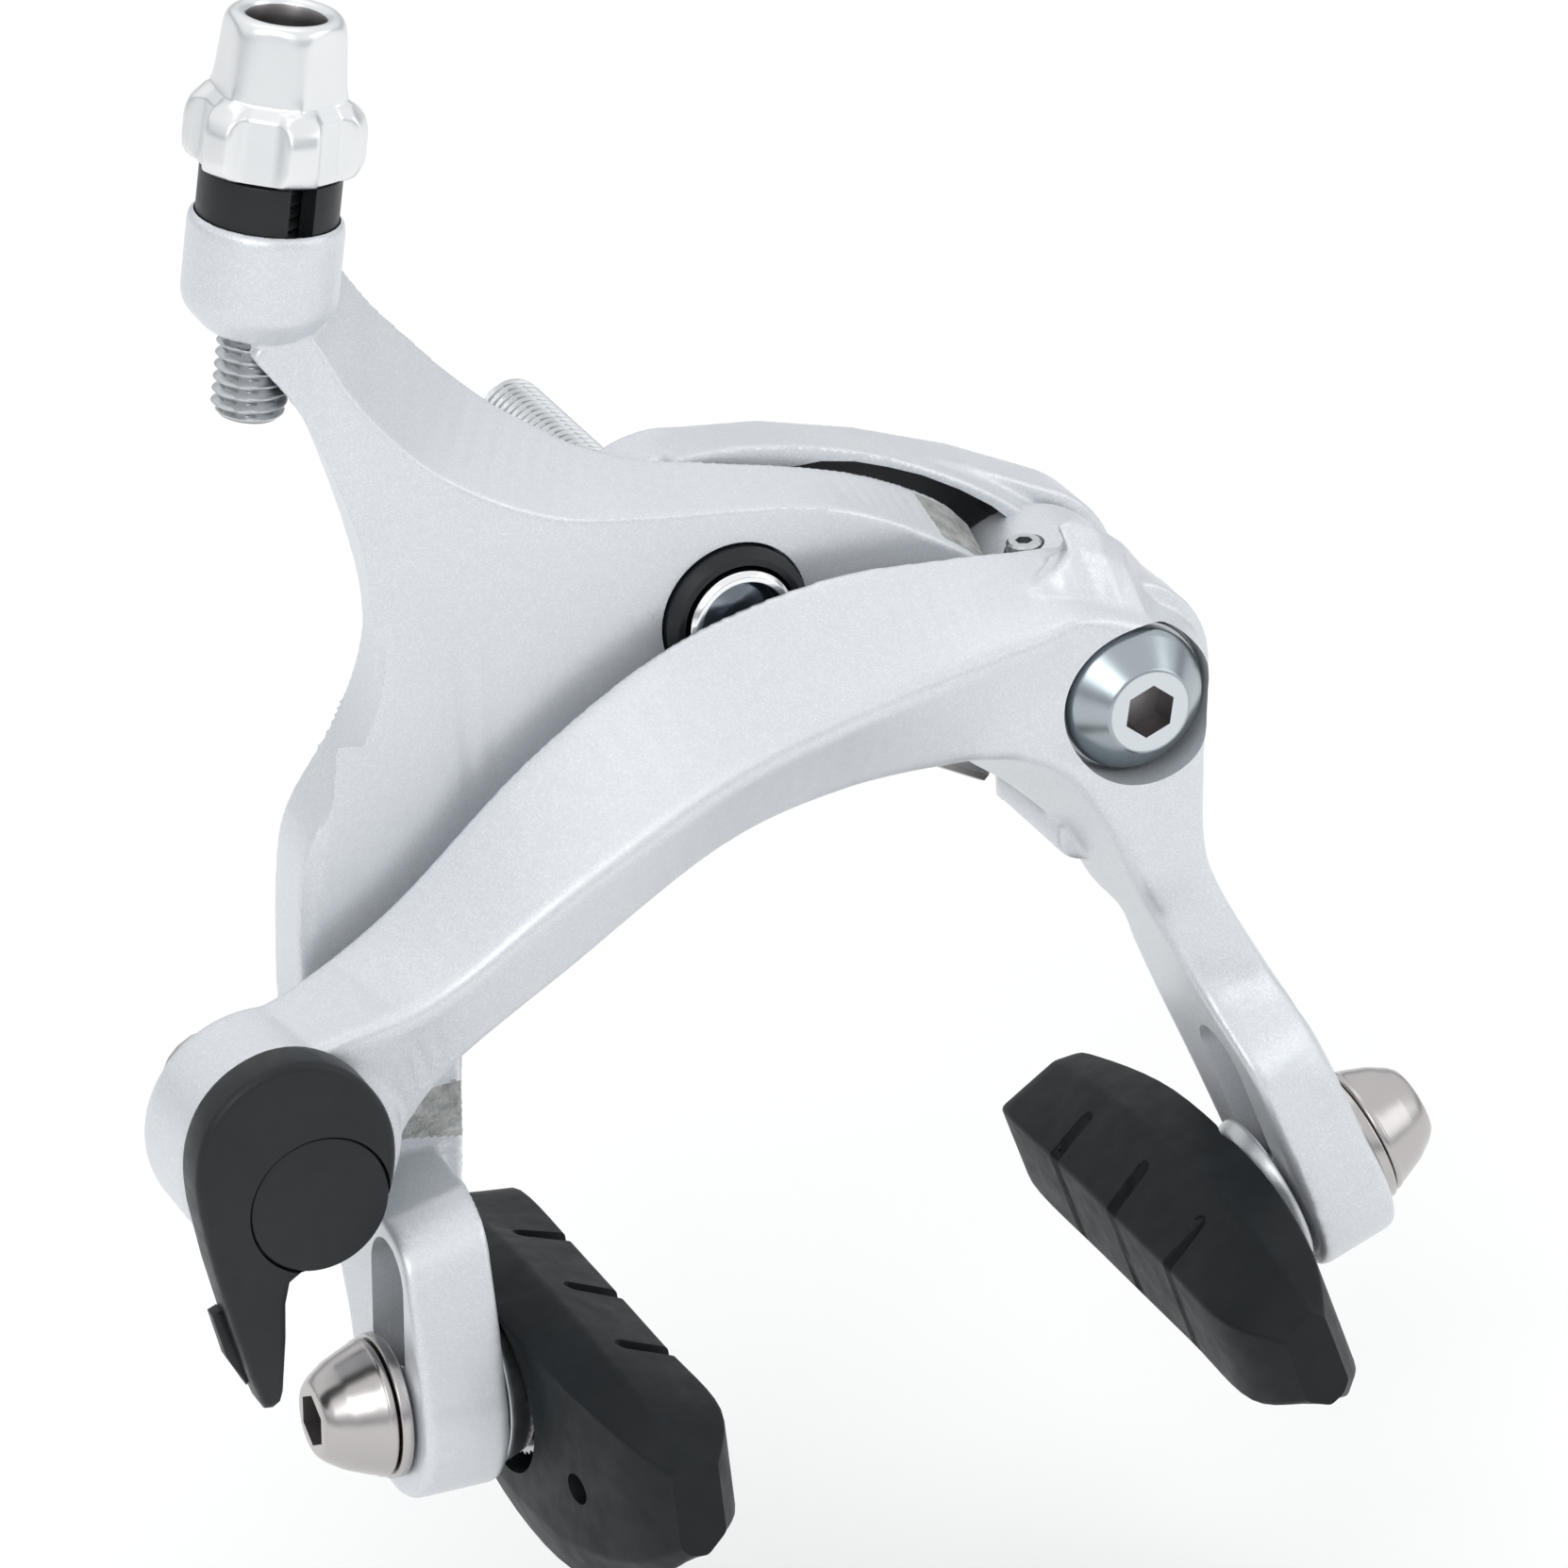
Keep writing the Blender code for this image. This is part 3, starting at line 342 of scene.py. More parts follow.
def tint(obj, material, test):
    """A second material on the faces that pass test(centre in millimetres, normal)."""
    obj.data.materials.append(material)
    last = len(obj.data.materials) - 1
    for face in obj.data.polygons:
        if test(face.center / MM, face.normal):
            face.material_index = last
    return obj


def shade(obj, angle=32.0):
    """Smooth shading with crisp edges above an angle."""
    mesh = obj.data
    mesh.polygons.foreach_set("use_smooth", [True] * len(mesh.polygons))
    mesh.set_sharp_from_angle(angle=math.radians(angle))
    return obj


# ---------------------------------------------------------------- materials

class Shader:
    """A node material around one Principled shader."""

    def __init__(self, name, colour, metallic, roughness, **values):
        self.material = bpy.data.materials.new(name)
        self.material.use_nodes = True
        self.tree = self.material.node_tree
        self.main = self.tree.nodes["Principled BSDF"]
        self.set("Base Color", (*colour, 1.0))
        self.set("Metallic", metallic)
        self.set("Roughness", roughness)
        for socket, value in values.items():
            self.set(socket.replace("_", " "), value)
        self.where = self.tree.nodes.new("ShaderNodeTexCoord").outputs["Object"]

    def set(self, socket, value):
        self.main.inputs[socket].default_value = value

    def node(self, kind, inputs=(), **settings):
        made = self.tree.nodes.new("ShaderNode" + kind)
        for key, value in settings.items():
            setattr(made, key, value)
        for socket, value in dict(inputs).items():
            if isinstance(value, bpy.types.NodeSocket):
                self.tree.links.new(value, made.inputs[socket])
            else:
                made.inputs[socket].default_value = value
        return made

    def link(self, output, socket):
        self.tree.links.new(output, self.main.inputs[socket])

    def noise(self, scale, detail=2.0, stretch=None, roughness=0.5):
        where = self.where
        if stretch:
            where = self.node("Mapping", {"Vector": where, "Scale": stretch}).outputs["Vector"]
        return self.node("TexNoise", {"Vector": where, "Scale": scale, "Detail": detail,
                                      "Roughness": roughness}).outputs["Fac"]

    def cells(self, scale):
        return self.node("TexVoronoi", {"Vector": self.where, "Scale": scale})

    def ramp(self, value, low, high, to_low=0.0, to_high=1.0):
        return self.node("MapRange", {"Value": value, "From Min": low, "From Max": high, "To Min": to_low,
                                      "To Max": to_high}).outputs["Result"]

    def mix(self, share, a, b):
        return self.node("Mix", {0: share, 6: a, 7: b}, data_type="RGBA").outputs[2]

    def bump(self, height, strength, distance):
        inputs = {"Height": height, "Strength": strength, "Distance": distance * MM}
        return self.node("Bump", inputs).outputs["Normal"]


def silver_paint():
    """Satin metallic paint: flakes that catch the light, and a faint orange peel."""
    s = Shader("silver_paint", (0.62, 0.65, 0.68), 0.55, 0.42, Coat_Weight=0.25, Coat_Roughness=0.28)
    flakes = s.cells(9000.0)
    tint = s.node("SeparateColor", {"Color": flakes.outputs["Color"]})
    broad = s.noise(60.0, 3.0)
    dark = s.mix(broad, (0.60, 0.625, 0.66, 1.0), (0.66, 0.685, 0.715, 1.0))
    bright = s.mix(broad, (0.74, 0.765, 0.79, 1.0), (0.80, 0.82, 0.84, 1.0))
    glint = s.ramp(tint.outputs[0], 0.45, 1.3)
    s.link(s.mix(glint, dark, bright), "Base Color")
    s.link(s.ramp(tint.outputs[1], 0.0, 1.0, 0.34, 0.5), "Roughness")
    lean = s.node("VectorMath", {0: flakes.outputs["Color"], 1: (0.5, 0.5, 0.5)}, operation="SUBTRACT")
    small = s.node("VectorMath", {0: lean.outputs["Vector"], "Scale": 0.10}, operation="SCALE")
    peel = s.bump(s.noise(900.0, 2.0), 0.25, 0.05)
    total = s.node("VectorMath", {0: small.outputs["Vector"], 1: peel}, operation="ADD")
    unit = s.node("VectorMath", {0: total.outputs["Vector"]}, operation="NORMALIZE")
    s.link(unit.outputs["Vector"], "Normal")
    s.link(s.bump(s.noise(900.0, 2.0), 0.15, 0.05), "Coat Normal")
    return s.material


def polished(name, colour, roughness, haze=0.06):
    """Plated or polished metal with faint hairlines."""
    s = Shader(name, colour, 1.0, roughness)
    marks = s.noise(400.0, 4.0, (1.0, 1.0, 0.15))
    s.link(s.ramp(marks, 0.3, 0.8, roughness, roughness + haze), "Roughness")
    light = tuple(min(1.0, c * 1.05) for c in colour)
    s.link(s.mix(s.noise(250.0, 2.0), (*colour, 1.0), (*light, 1.0)), "Base Color")
    s.link(s.bump(s.noise(1500.0, 3.0), 0.06, 0.02), "Normal")
    return s.material


def zinc_plate():
    """Bright zinc plate: a cloudy, slightly grainy metal."""
    colour = (0.62, 0.64, 0.66)
    s = Shader("zinc_plate", colour, 1.0, 0.34)
    cloud = s.noise(300.0, 5.0, roughness=0.65)
    dark = tuple(0.82 * c for c in colour)
    s.link(s.mix(s.ramp(cloud, 0.3, 0.7), (*dark, 1.0), (*colour, 1.0)), "Base Color")
    s.link(s.ramp(cloud, 0.3, 0.75, 0.28, 0.46), "Roughness")
    s.link(s.bump(s.noise(2500.0, 4.0), 0.25, 0.03), "Normal")
    return s.material


def bare_casting():
    """Unpainted cast metal, rough and dull."""
    s = Shader("bare_casting", (0.45, 0.46, 0.45), 0.9, 0.5)
    lumps = s.noise(700.0, 6.0, roughness=0.7)
    s.link(s.mix(s.ramp(lumps, 0.3, 0.7), (0.26, 0.27, 0.26, 1.0), (0.62, 0.63, 0.61, 1.0)), "Base Color")
    s.link(s.bump(lumps, 0.9, 0.25), "Normal")
    return s.material


def moulded(name, colour, roughness, grain, coarse, specular=0.5):
    """Moulded plastic or rubber with a fine matt grain."""
    s = Shader(name, colour, 0.0, roughness, Specular_IOR_Level=specular)
    lift = tuple(min(1.0, 1.35 * c + 0.002) for c in colour)
    blotch = s.noise(90.0, 4.0)
    s.link(s.mix(s.ramp(blotch, 0.3, 0.7), (*colour, 1.0), (*lift, 1.0)), "Base Color")
    s.link(s.ramp(s.noise(coarse, 3.0), 0.25, 0.75, roughness - 0.06, roughness + 0.08), "Roughness")
    s.link(s.bump(s.noise(grain, 3.0), 0.35, 0.03), "Normal")
    return s.material


SILVER = silver_paint()
# Near-black grey for the bracket's pocket: painted shade, standing in for the shadow in the channel under the
# rim.
SHADOW = moulded("painted_pocket_shade", (0.075, 0.08, 0.087), 0.6, 2500.0, 500.0)
# Dark steel for the insides of the hex sockets and the grip's bore: painted shade in these recesses.
SOCKET_SHADE = polished("socket_shade", (0.26, 0.25, 0.25), 0.35, 0.10)
# Dark bluish polish for the centre nut's recessed middle: a painted reflection.
CENTRE_REFLECTION = polished("painted_centre_reflection", (0.30, 0.34, 0.38), 0.14)
# Darker grey for the thread roots: painted shade in the grooves.
ROOT_SHADE = polished("thread_root_shade", (0.30, 0.31, 0.32), 0.35)
RING = polished("head_ring", (0.60, 0.64, 0.67), 0.30)
SATIN = polished("satin_chrome", (0.36, 0.405, 0.43), 0.24)
SATIN_WHITE = polished("bright_chrome", (0.76, 0.775, 0.785), 0.30)
CHROME = polished("chrome_plate", (0.83, 0.84, 0.85), 0.10)
STAINLESS = polished("stainless_steel", (0.47, 0.452, 0.446), 0.22, 0.08)
ZINC = zinc_plate()
BARE = bare_casting()
BLACK = moulded("black_plastic", (0.006, 0.008, 0.010), 0.42, 5000.0, 700.0, 0.35)
RUBBER = moulded("pad_rubber", (0.004, 0.006, 0.0075), 0.52, 3500.0, 500.0, 0.22)
NYLON = moulded("white_nylon", (0.70, 0.70, 0.67), 0.45, 3000.0, 500.0)


def show(obj, node, material, angle=32.0):
    """The piece stands for a CAD node, rides on its body and takes its slot."""
    obj.name = node + "_shown"
    obj.data.materials.clear()
    obj.data.materials.append(material)
    shade(obj, angle)
    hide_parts(node)
    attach(obj, BODY_OF[node])
    return obj


# ---------------------------------------------------------------- y-arm

def leg_edge(side, offset, y, rise):
    """A point on a leg's flat side: off its middle plane, and above the shoe bolt."""
    turn = math.radians(LEG_TILT[side])
    x, z = BOLT[side]
    return (x + math.cos(turn) * offset + math.sin(turn) * rise, y,
            z - math.sin(turn) * offset + math.cos(turn) * rise)


def leg_axis(side):
    turn = math.radians(LEG_TILT[side])
    return Vector((math.cos(turn), 0.0, -math.sin(turn)))


def leg_foot(side):
    start = Vector((BOLT[side][0], SHOE_Y, BOLT[side][1])) - leg_axis(side) * LEG_HALF
    profile = [(0.0, 0.0), (FOOT_RADIUS, 0.0), (FOOT_RADIUS, 2.0 * LEG_HALF), (0.0, 2.0 * LEG_HALF)]
    return lathe("foot", profile, stand(start, leg_axis(side)), 0.7)


def bolt_frame(side):
    """X along the shoe bolt, Z up the leg."""
    x, z = BOLT[side]
    turn = Matrix.Rotation(math.radians(LEG_TILT[side]), 4, "Y")
    return Matrix.Translation(Vector((x, SHOE_Y, z)) * MM) @ turn


def leg_slot(side):
    low = arc((0.0, 0.0), SLOT_HALF, 180.0, 360.0, 17)
    high = arc((0.0, SLOT_TRAVEL[side]), SLOT_HALF, 0.0, 180.0, 17)
    turn = Matrix(((0, 0, 1, 0), (1, 0, 0, 0), (0, 1, 0, 0), (0, 0, 0, 1)))
    return prism("slot", low + high, -15.0, 15.0, bolt_frame(side) @ turn)


BOSS_AXIS = Vector((math.sin(math.radians(BOSS_TILT)), 0.0, math.cos(math.radians(BOSS_TILT))))


def boss_point(height):
    return BOSS_CENTRE + BOSS_AXIS * height


def y_arm_body():
    """The neck, hub and tail: a ridged front outline and the outline behind it."""
    top = [((-39.0, -18.0, 31.0), (-39.0, -10.5, 31.0)), ((-35.0, -18.0, 32.6), (-30.5, -10.5, 35.0)),
           ((-31.0, -19.0, 25.3), (-25.5, -10.5, 29.3)), ((-24.5, -19.0, 17.8), (-17.9, -10.5, 20.7)),
           ((-16.0, -19.2, 12.6), (-10.5, -10.7, 14.9)), ((-7.7, -19.2, 10.6), (-4.4, -11.0, 11.9)),
           ((1.4, -19.1, 9.2), (2.0, -11.2, 10.2)), ((8.5, -19.0, 7.6), (8.6, -11.3, 8.4)),
           ((14.5, -18.8, 4.9), (15.2, -11.3, 6.1)), ((20.0, -18.6, 1.3), (21.5, -11.3, 2.6)),
           ((23.4, -18.4, -1.6), (24.6, -11.3, -0.6))]
    low = [((22.4, -18.4, -3.8), (23.6, -11.3, -3.4)), ((20.0, -18.4, -4.8), (20.0, -11.3, -4.8)),
           ((16.5, -18.6, -3.4), (16.5, -11.3, -3.4)), ((12.5, -18.8, -4.4), (12.5, -11.3, -4.4)),
           ((8.0, -19.0, -7.6), (8.0, -11.3, -7.6)), ((1.0, -19.1, -9.8), (1.0, -11.3, -9.8)),
           ((-7.0, -19.1, -10.4), (-7.0, -11.3, -10.4)), ((-13.5, -19.1, -10.6), (-13.5, -11.3, -10.6)),
           ((-17.5, -19.0, -14.0), (-17.5, -11.5, -13.5)), ((-22.5, -19.0, -22.0), (-22.5, -11.5, -22.0)),
           ((-25.3, -19.4, -30.0), (-25.3, -11.5, -30.0))]
    left = [((-39.6, -19.4, -27.0), (-38.9, -11.5, -27.0)), ((-39.1, -19.0, -17.2), (-38.2, -11.5, -17.0)),
            ((-37.7, -19.0, -11.5), (-36.8, -11.5, -11.0)), ((-33.1, -19.0, -5.2), (-32.2, -11.5, -4.5)),
            ((-30.4, -19.0, 1.3), (-29.5, -11.5, 2.0)), ((-30.2, -19.0, 6.8), (-29.3, -11.2, 7.6)),
            ((-32.1, -18.8, 15.6), (-31.2, -11.0, 16.5)), ((-35.2, -18.6, 24.6), (-34.3, -11.0, 25.5)),
            ((-38.6, -18.1, 30.2), (-38.4, -10.6, 30.2))]
    front = []
    back = []
    for run in (top, low, left):
        front += curve_through([pair[0] for pair in run], 5)
        back += curve_through([pair[1] for pair in run], 5)
    return slab("body", front, back)


def y_arm_shelf():
    """The neck's foot, which leans forward to the ledge above the lower leg."""
    left_back = [(-38.9, -11.5, -27.0), (-39.3, -12.4, -34.0), (-39.3, -13.4, -38.6), (-39.0, -15.4, -42.5)]
    left_front = [(-39.6, -19.4, -27.0), (-39.6, -20.6, -34.0), (-39.3, -21.3, -38.6), (-39.0, -23.5, -42.5)]
    right_front = [(-25.3, -19.4, -30.0), (-26.4, -20.6, -33.6), (-28.6, -25.5, -37.6), (-30.6, -29.5, -41.0)]
    right_back = [(-25.3, -11.5, -30.0), (-26.4, -12.4, -34.5), (-28.6, -13.8, -39.5), (-30.6, -15.8, -43.5)]
    return loft("shelf", [left_back, left_front, right_front, right_back], 0.6)


def y_arm_leg():
    outer_rises = (16.4, 14.6, 10.0, 5.0, 0.0)
    inner_rises = (18.3, 16.0, 11.0, 5.0, 0.0)
    backs = (-14.5, -16.0, -19.5, -22.5, -24.0)
    fronts = (-31.5, -35.4, -37.4, -39.0, -40.0)
    lines = []
    for offset, depths, rises in ((-LEG_HALF, backs, outer_rises), (-LEG_HALF, fronts, outer_rises),
                                  (LEG_HALF, fronts, inner_rises), (LEG_HALF, backs, inner_rises)):
        lines.append([leg_edge("left", offset, y, rise) for y, rise in zip(depths, rises)])
    return loft("leg", lines, 0.7)


def y_arm():
    top = BOSS_HALF + 0.8
    bottom = 2.0 - BOSS_HALF
    profile = [(0.0, top), (BOSS_RADIUS, top), (BOSS_RADIUS, bottom + 2.4), (BOSS_RADIUS - 2.4, bottom),
               (0.0, bottom)]
    boss = lathe("boss", profile, stand(BOSS_CENTRE, BOSS_AXIS), 0.9)
    hub = rod("hub", 7.2, 6.0, stand((0.0, -9.6, 0.0), FORWARD))
    solids = [y_arm_body(), y_arm_shelf(), boss, hub, y_arm_leg(), leg_foot("left")]
    arm = cast("y_arm_shown", solids, ARM_VOXEL, 6)
    seat = rod("seat", 5.75, 5.0, stand(boss_point(BOSS_HALF - 0.4), BOSS_AXIS))
    bore = rod("bore", 3.2, 40.0, stand(boss_point(-20.0), BOSS_AXIS))
    pivot = rod("pivot", 3.4, 20.0, stand((0.0, -5.0, 0.0), FORWARD))
    counter = rod("counter", 6.45, 8.0, stand((0.0, -16.9, 0.0), FORWARD), 64)
    cut(arm, seat, bore, pivot, counter, leg_slot("left"))
    show(arm, "y_arm", SILVER, 40.0)

    def worn(at, normal):
        tail_end = at.x > 19.4 and -17.8 < at.y < -12.0 and normal.z > 0.3
        ledge = at.x > -38.0 and -37.3 < at.z < -34.0 and at.y < -21.2 and normal.z > 0.35
        return tail_end or ledge
    return tint(arm, BARE, worn)


# ---------------------------------------------------------------- c-arm

def c_arm_bar():
    """The bar from the quick release to the side pivot, and the leg below the pivot."""
    outer_back = [(-48.0, -21.6, -23.2), (-42.0, -21.6, -21.9), (-32.2, -21.6, -16.4), (-19.8, -21.6, -6.4),
                  (-7.0, -21.6, 0.7), (6.4, -21.6, 3.4), (17.3, -21.6, 2.7), (23.8, -21.1, 1.6),
                  (30.0, -20.4, 0.0), (39.0, -20.0, -6.0), (40.0, -20.6, -15.0), (38.4, -21.4, -22.6),
                  (39.0, -20.6, -29.5), (42.0, -20.2, -37.0)]
    outer_front = [(-47.0, -31.0, -24.0), (-41.0, -31.4, -22.4), (-32.0, -31.8, -20.6), (-20.0, -32.0, -14.2),
                   (-6.0, -32.0, -7.8), (5.0, -32.0, -4.8), (15.0, -31.8, -3.0), (21.2, -31.5, -2.1),
                   (27.0, -31.2, -1.6), (36.0, -31.6, -6.8), (35.2, -32.8, -16.0), (35.3, -32.6, -23.4),
                   (36.9, -32.3, -28.3), (41.2, -32.6, -36.6)]
    inner_front = [(-43.0, -31.0, -38.5), (-37.5, -30.6, -34.8), (-31.4, -30.0, -28.7), (-20.4, -29.6, -22.6),
                   (-6.4, -29.0, -15.3), (4.4, -29.0, -12.9), (14.4, -29.2, -12.8), (17.6, -29.7, -12.9),
                   (20.6, -30.4, -13.3), (23.6, -32.0, -14.8), (26.6, -32.6, -20.0), (29.0, -32.2, -25.8),
                   (31.7, -31.2, -31.2), (34.2, -33.6, -36.9)]
    inner_back = [(-43.0, -21.6, -38.5), (-37.5, -21.6, -34.4), (-31.4, -21.6, -27.2), (-20.8, -21.6, -19.4),
                  (-6.7, -21.6, -11.8), (4.2, -21.6, -9.6), (13.4, -21.6, -12.4), (16.2, -21.5, -14.4),
                  (18.8, -21.4, -16.8), (22.8, -21.2, -20.2), (27.0, -21.0, -24.8), (30.0, -20.5, -30.3),
                  (33.2, -19.6, -34.4), (34.6, -19.2, -38.0)]
    for outer_rise, inner_rise, outer, inner, back in ((14.7, 16.0, -36.0, -39.2, -20.6),
                                                       (8.5, 9.0, -38.4, -39.9, -22.4),
                                                       (0.0, 0.0, -40.0, -40.0, -24.0)):
        outer_back.append(leg_edge("right", LEG_HALF, back, outer_rise))
        outer_front.append(leg_edge("right", LEG_HALF, outer, outer_rise))
        inner_front.append(leg_edge("right", -LEG_HALF, inner, inner_rise))
        inner_back.append(leg_edge("right", -LEG_HALF, back, inner_rise))
    return loft("bar", [outer_back, outer_front, inner_front, inner_back], 1.2)


def c_arm_hook():
    """The raised corner over the side pivot, with a notch on its left: outlines from back to front."""
    back = [(27.6, -0.7), (28.7, -0.5), (29.4, 0.4), (28.5, 2.0), (29.8, 2.2), (31.9, 1.2), (34.5, -1.1),
            (37.0, -4.6), (39.1, -8.6), (37.0, -12.0), (27.0, -10.0)]
    lip = [(25.7, 1.4), (26.8, 1.5), (27.5, 2.5), (26.6, 4.0), (27.9, 4.2), (30.0, 3.2), (32.5, 1.0),
           (35.0, -2.5), (37.1, -6.4), (36.0, -12.0), (26.0, -10.0)]
    face = [(22.0, -0.6), (24.4, 0.6), (25.8, 1.6), (26.6, 2.1), (27.6, 2.3), (29.6, 1.6), (31.8, 0.0),
            (34.2, -3.4), (36.2, -7.0), (35.6, -12.0), (26.0, -10.0)]
    foot = [(20.0, -3.0), (23.0, -2.8), (25.6, -2.6), (27.0, -2.5), (28.2, -2.4), (29.8, -2.4), (31.8, -3.0),
            (33.8, -4.8), (35.4, -7.2), (35.0, -12.0), (26.0, -10.0)]
    rings = []
    for y, outline in ((-20.0, back), (-24.0, lip), (-26.2, face), (-29.6, foot)):
        rings.append([(x, y, z) for x, z in outline])
    return [slab("hook", near, far) for far, near in zip(rings, rings[1:])]


def c_arm():
    """The bar and leg, quick release boss, pivot hub, spring lug and hook, in one casting."""
    boss = lathe("boss", [(0.0, 9.6), (9.5, 9.6), (9.5, 0.0), (0.0, 0.0)],
                 stand((QR[0] - 0.4, -21.6, QR[1] + 2.2), FORWARD), 1.2)
    hub = rod("hub", 8.8, 18.0, stand((PIVOT[0], -8.6, PIVOT[1]), FORWARD))
    lug = lathe("lug", [(0.0, 0.0), (2.6, 0.0), (2.6, 12.0), (0.0, 12.0)],
                stand(SPRING_LUG, FORWARD), 0.5)
    solids = [c_arm_bar(), boss, hub, lug, *c_arm_hook(), leg_foot("right")]
    arm = cast("c_arm_shown", solids, ARM_VOXEL, 10)
    bore = rod("bore", 4.8, 40.0, stand((PIVOT[0], 0.0, PIVOT[1]), FORWARD))
    recess = rod("recess", 6.7, 8.0, stand((PIVOT[0], -28.3, PIVOT[1]), FORWARD), 64)
    cam = rod("cam", 4.0, 30.0, stand((QR[0], -10.0, QR[1]), FORWARD))
    screw = rod("screw", 1.7, 12.0, stand((27.6, -15.6, -4.8), (0.0, 0.0, 1.0)))
    cut(arm, bore, recess, cam, screw, leg_slot("right"))
    return show(arm, "c_arm", SILVER, 40.0)


# ---------------------------------------------------------------- bracket and centre bolt

def bracket():
    over = [(9.9, 8.6), (18.4, 6.1), (26.9, 2.7)]
    pivot = arc(PIVOT, 9.7, 60.0, -98.0, 24)
    under = [(21.0, -16.6), (13.0, -12.6), (7.0, -9.8)]
    hub = arc((0.0, 0.0), 10.0, -75.0, -285.0, 32)
    body = prism("body", over + pivot + under + hub, 2.0, 8.0, front_plane(), 0.4)
    rise_front = [(-0.8, 10.6), (5.1, 10.4), (12.6, 8.7), (19.3, 6.0), (26.0, 2.1), (31.1, -2.0),
                  (34.4, -5.6)]
    rise_back = [(-0.8, 9.9), (5.1, 9.5), (12.6, 7.9), (19.3, 5.7), (26.9, 2.6), (32.0, -0.3), (35.6, -3.6)]
    low = [(33.0, -7.4), (27.0, -8.0), (25.6, -1.2), (17.2, 3.6), (9.1, 6.2), (2.7, 7.3), (-2.2, 7.1)]
    edges = []
    for y, rise in ((-10.4, rise_front), (-3.0, rise_back)):
        edges.append(curve_through([(x, y, z) for x, z in rise], 5) + [(x, y, z) for x, z in low])
    rim = slab("rim", *edges)
    body = cast("bracket_shown", [body, rim], 0.3, 5)
    holes = [rod("hole", STUD_HOLE, 12.0, stand((0.0, 1.0, 0.0), FORWARD)),
             rod("hole", STUD_HOLE, 12.0, stand((PIVOT[0], 1.0, PIVOT[1]), FORWARD))]
    edge = [(8.0, 7.7), (12.0, 7.6), (15.0, 6.9), (18.0, 5.7), (21.0, 4.3), (24.4, 2.2), (27.2, 0.1),
            (29.2, -1.9)]
    channel = edge + [(29.4, -3.4), (27.6, -4.6), (24.0, -5.0), (18.0, -7.0), (11.0, -6.0)]
    pocket = prism("pocket", channel, 3.2, 14.0, front_plane(), 0.0)
    cut(body, *holes, pocket)
    show(body, "bracket", SILVER, 40.0)

    # Faces in the pocket below the rim's edge take the near-black grey: painted shade.
    def painted_shade_faces(at, normal):
        if not edge[0][0] < at.x < edge[-1][0] + 0.2 or not -9.6 < at.y < -3.0:
            return False
        for (x0, z0), (x1, z1) in zip(edge, edge[1:]):
            if x0 <= at.x <= x1:
                return at.z < z0 + (z1 - z0) * (at.x - x0) / (x1 - x0) + 0.1
        return at.z < -1.8
    return tint(body, SHADOW, painted_shade_faces)


def centre_bolt():
    shank = threaded("centre_bolt_shown", STUD_RADIUS, -19.6, 28.0, THREAD_PITCH, stand(ORIGIN, BACKWARD))
    tip = lathe("tip", [(0.0, 28.4), (1.4, 28.35), (2.0, 28.0), (2.2, 27.6), (2.2, 26.0), (0.0, 26.0)],
                stand(ORIGIN, BACKWARD), 0.15)
    cut(shank, tip, operation="UNION")
    show(shank, "centre_bolt", ZINC)
    # Painted shade: the thread roots take the darker grey.
    return tint(shank, ROOT_SHADE, lambda at, normal: at.y < 27.0 and 1.5 < math.hypot(at.x, at.z) < THREAD_ROOT)


def front_lathe(node, profile, x, z, back, material, soft=0.2, steps=64, cutters=()):
    obj = lathe(node, profile, stand((x, back, z), FORWARD), soft, steps)
    if cutters:
        cut(obj, *cutters)
    return show(obj, node, material)


def centre_stack():
    dome = [(0.0, 3.1), (1.6, 3.0), (3.0, 2.6), (3.5, 2.3), (3.7, 4.0), (4.2, 4.0), (4.6, 3.6), (4.6, 0.8),
            (5.2, 0.6), (5.2, 0.0), (0.0, 0.0)]
    nut = front_lathe("centre_nut", dome, 0.0, 0.0, -17.0, CHROME, 0.12)
    # Painted reflection: the nut's recessed middle takes the dark bluish polish.
    tint(nut, CENTRE_REFLECTION, lambda at, normal: math.hypot(at.x, at.z) < 3.75)
    seal = [(4.9, 3.2), (5.5, 3.2), (6.2, 2.4), (6.2, 0.0), (5.5, 0.0), (5.5, 1.6), (4.9, 1.6)]
    front_lathe("centre_seal_ring", seal, 0.0, 0.0, -17.2, BLACK, 0.15)
    thrust = [(STUD_HOLE, 1.0), (7.0, 1.0), (7.0, 0.0), (STUD_HOLE, 0.0)]
    front_lathe("hub_thrust_washer", thrust, 0.0, 0.0, -8.3, ZINC, 0.15)
    outline = toothed(18, ((-0.30, 7.0), (-0.18, 7.6), (0.18, 7.6), (0.30, 7.0)))
    washer = prism("toothed", outline, 0.0, 1.7, front_plane(), 0.15, 2)
    cut(washer, rod("hole", STUD_HOLE, 4.0, stand((0.0, 1.0, 0.0), FORWARD)))
    show(washer, "toothed_washer", ZINC)


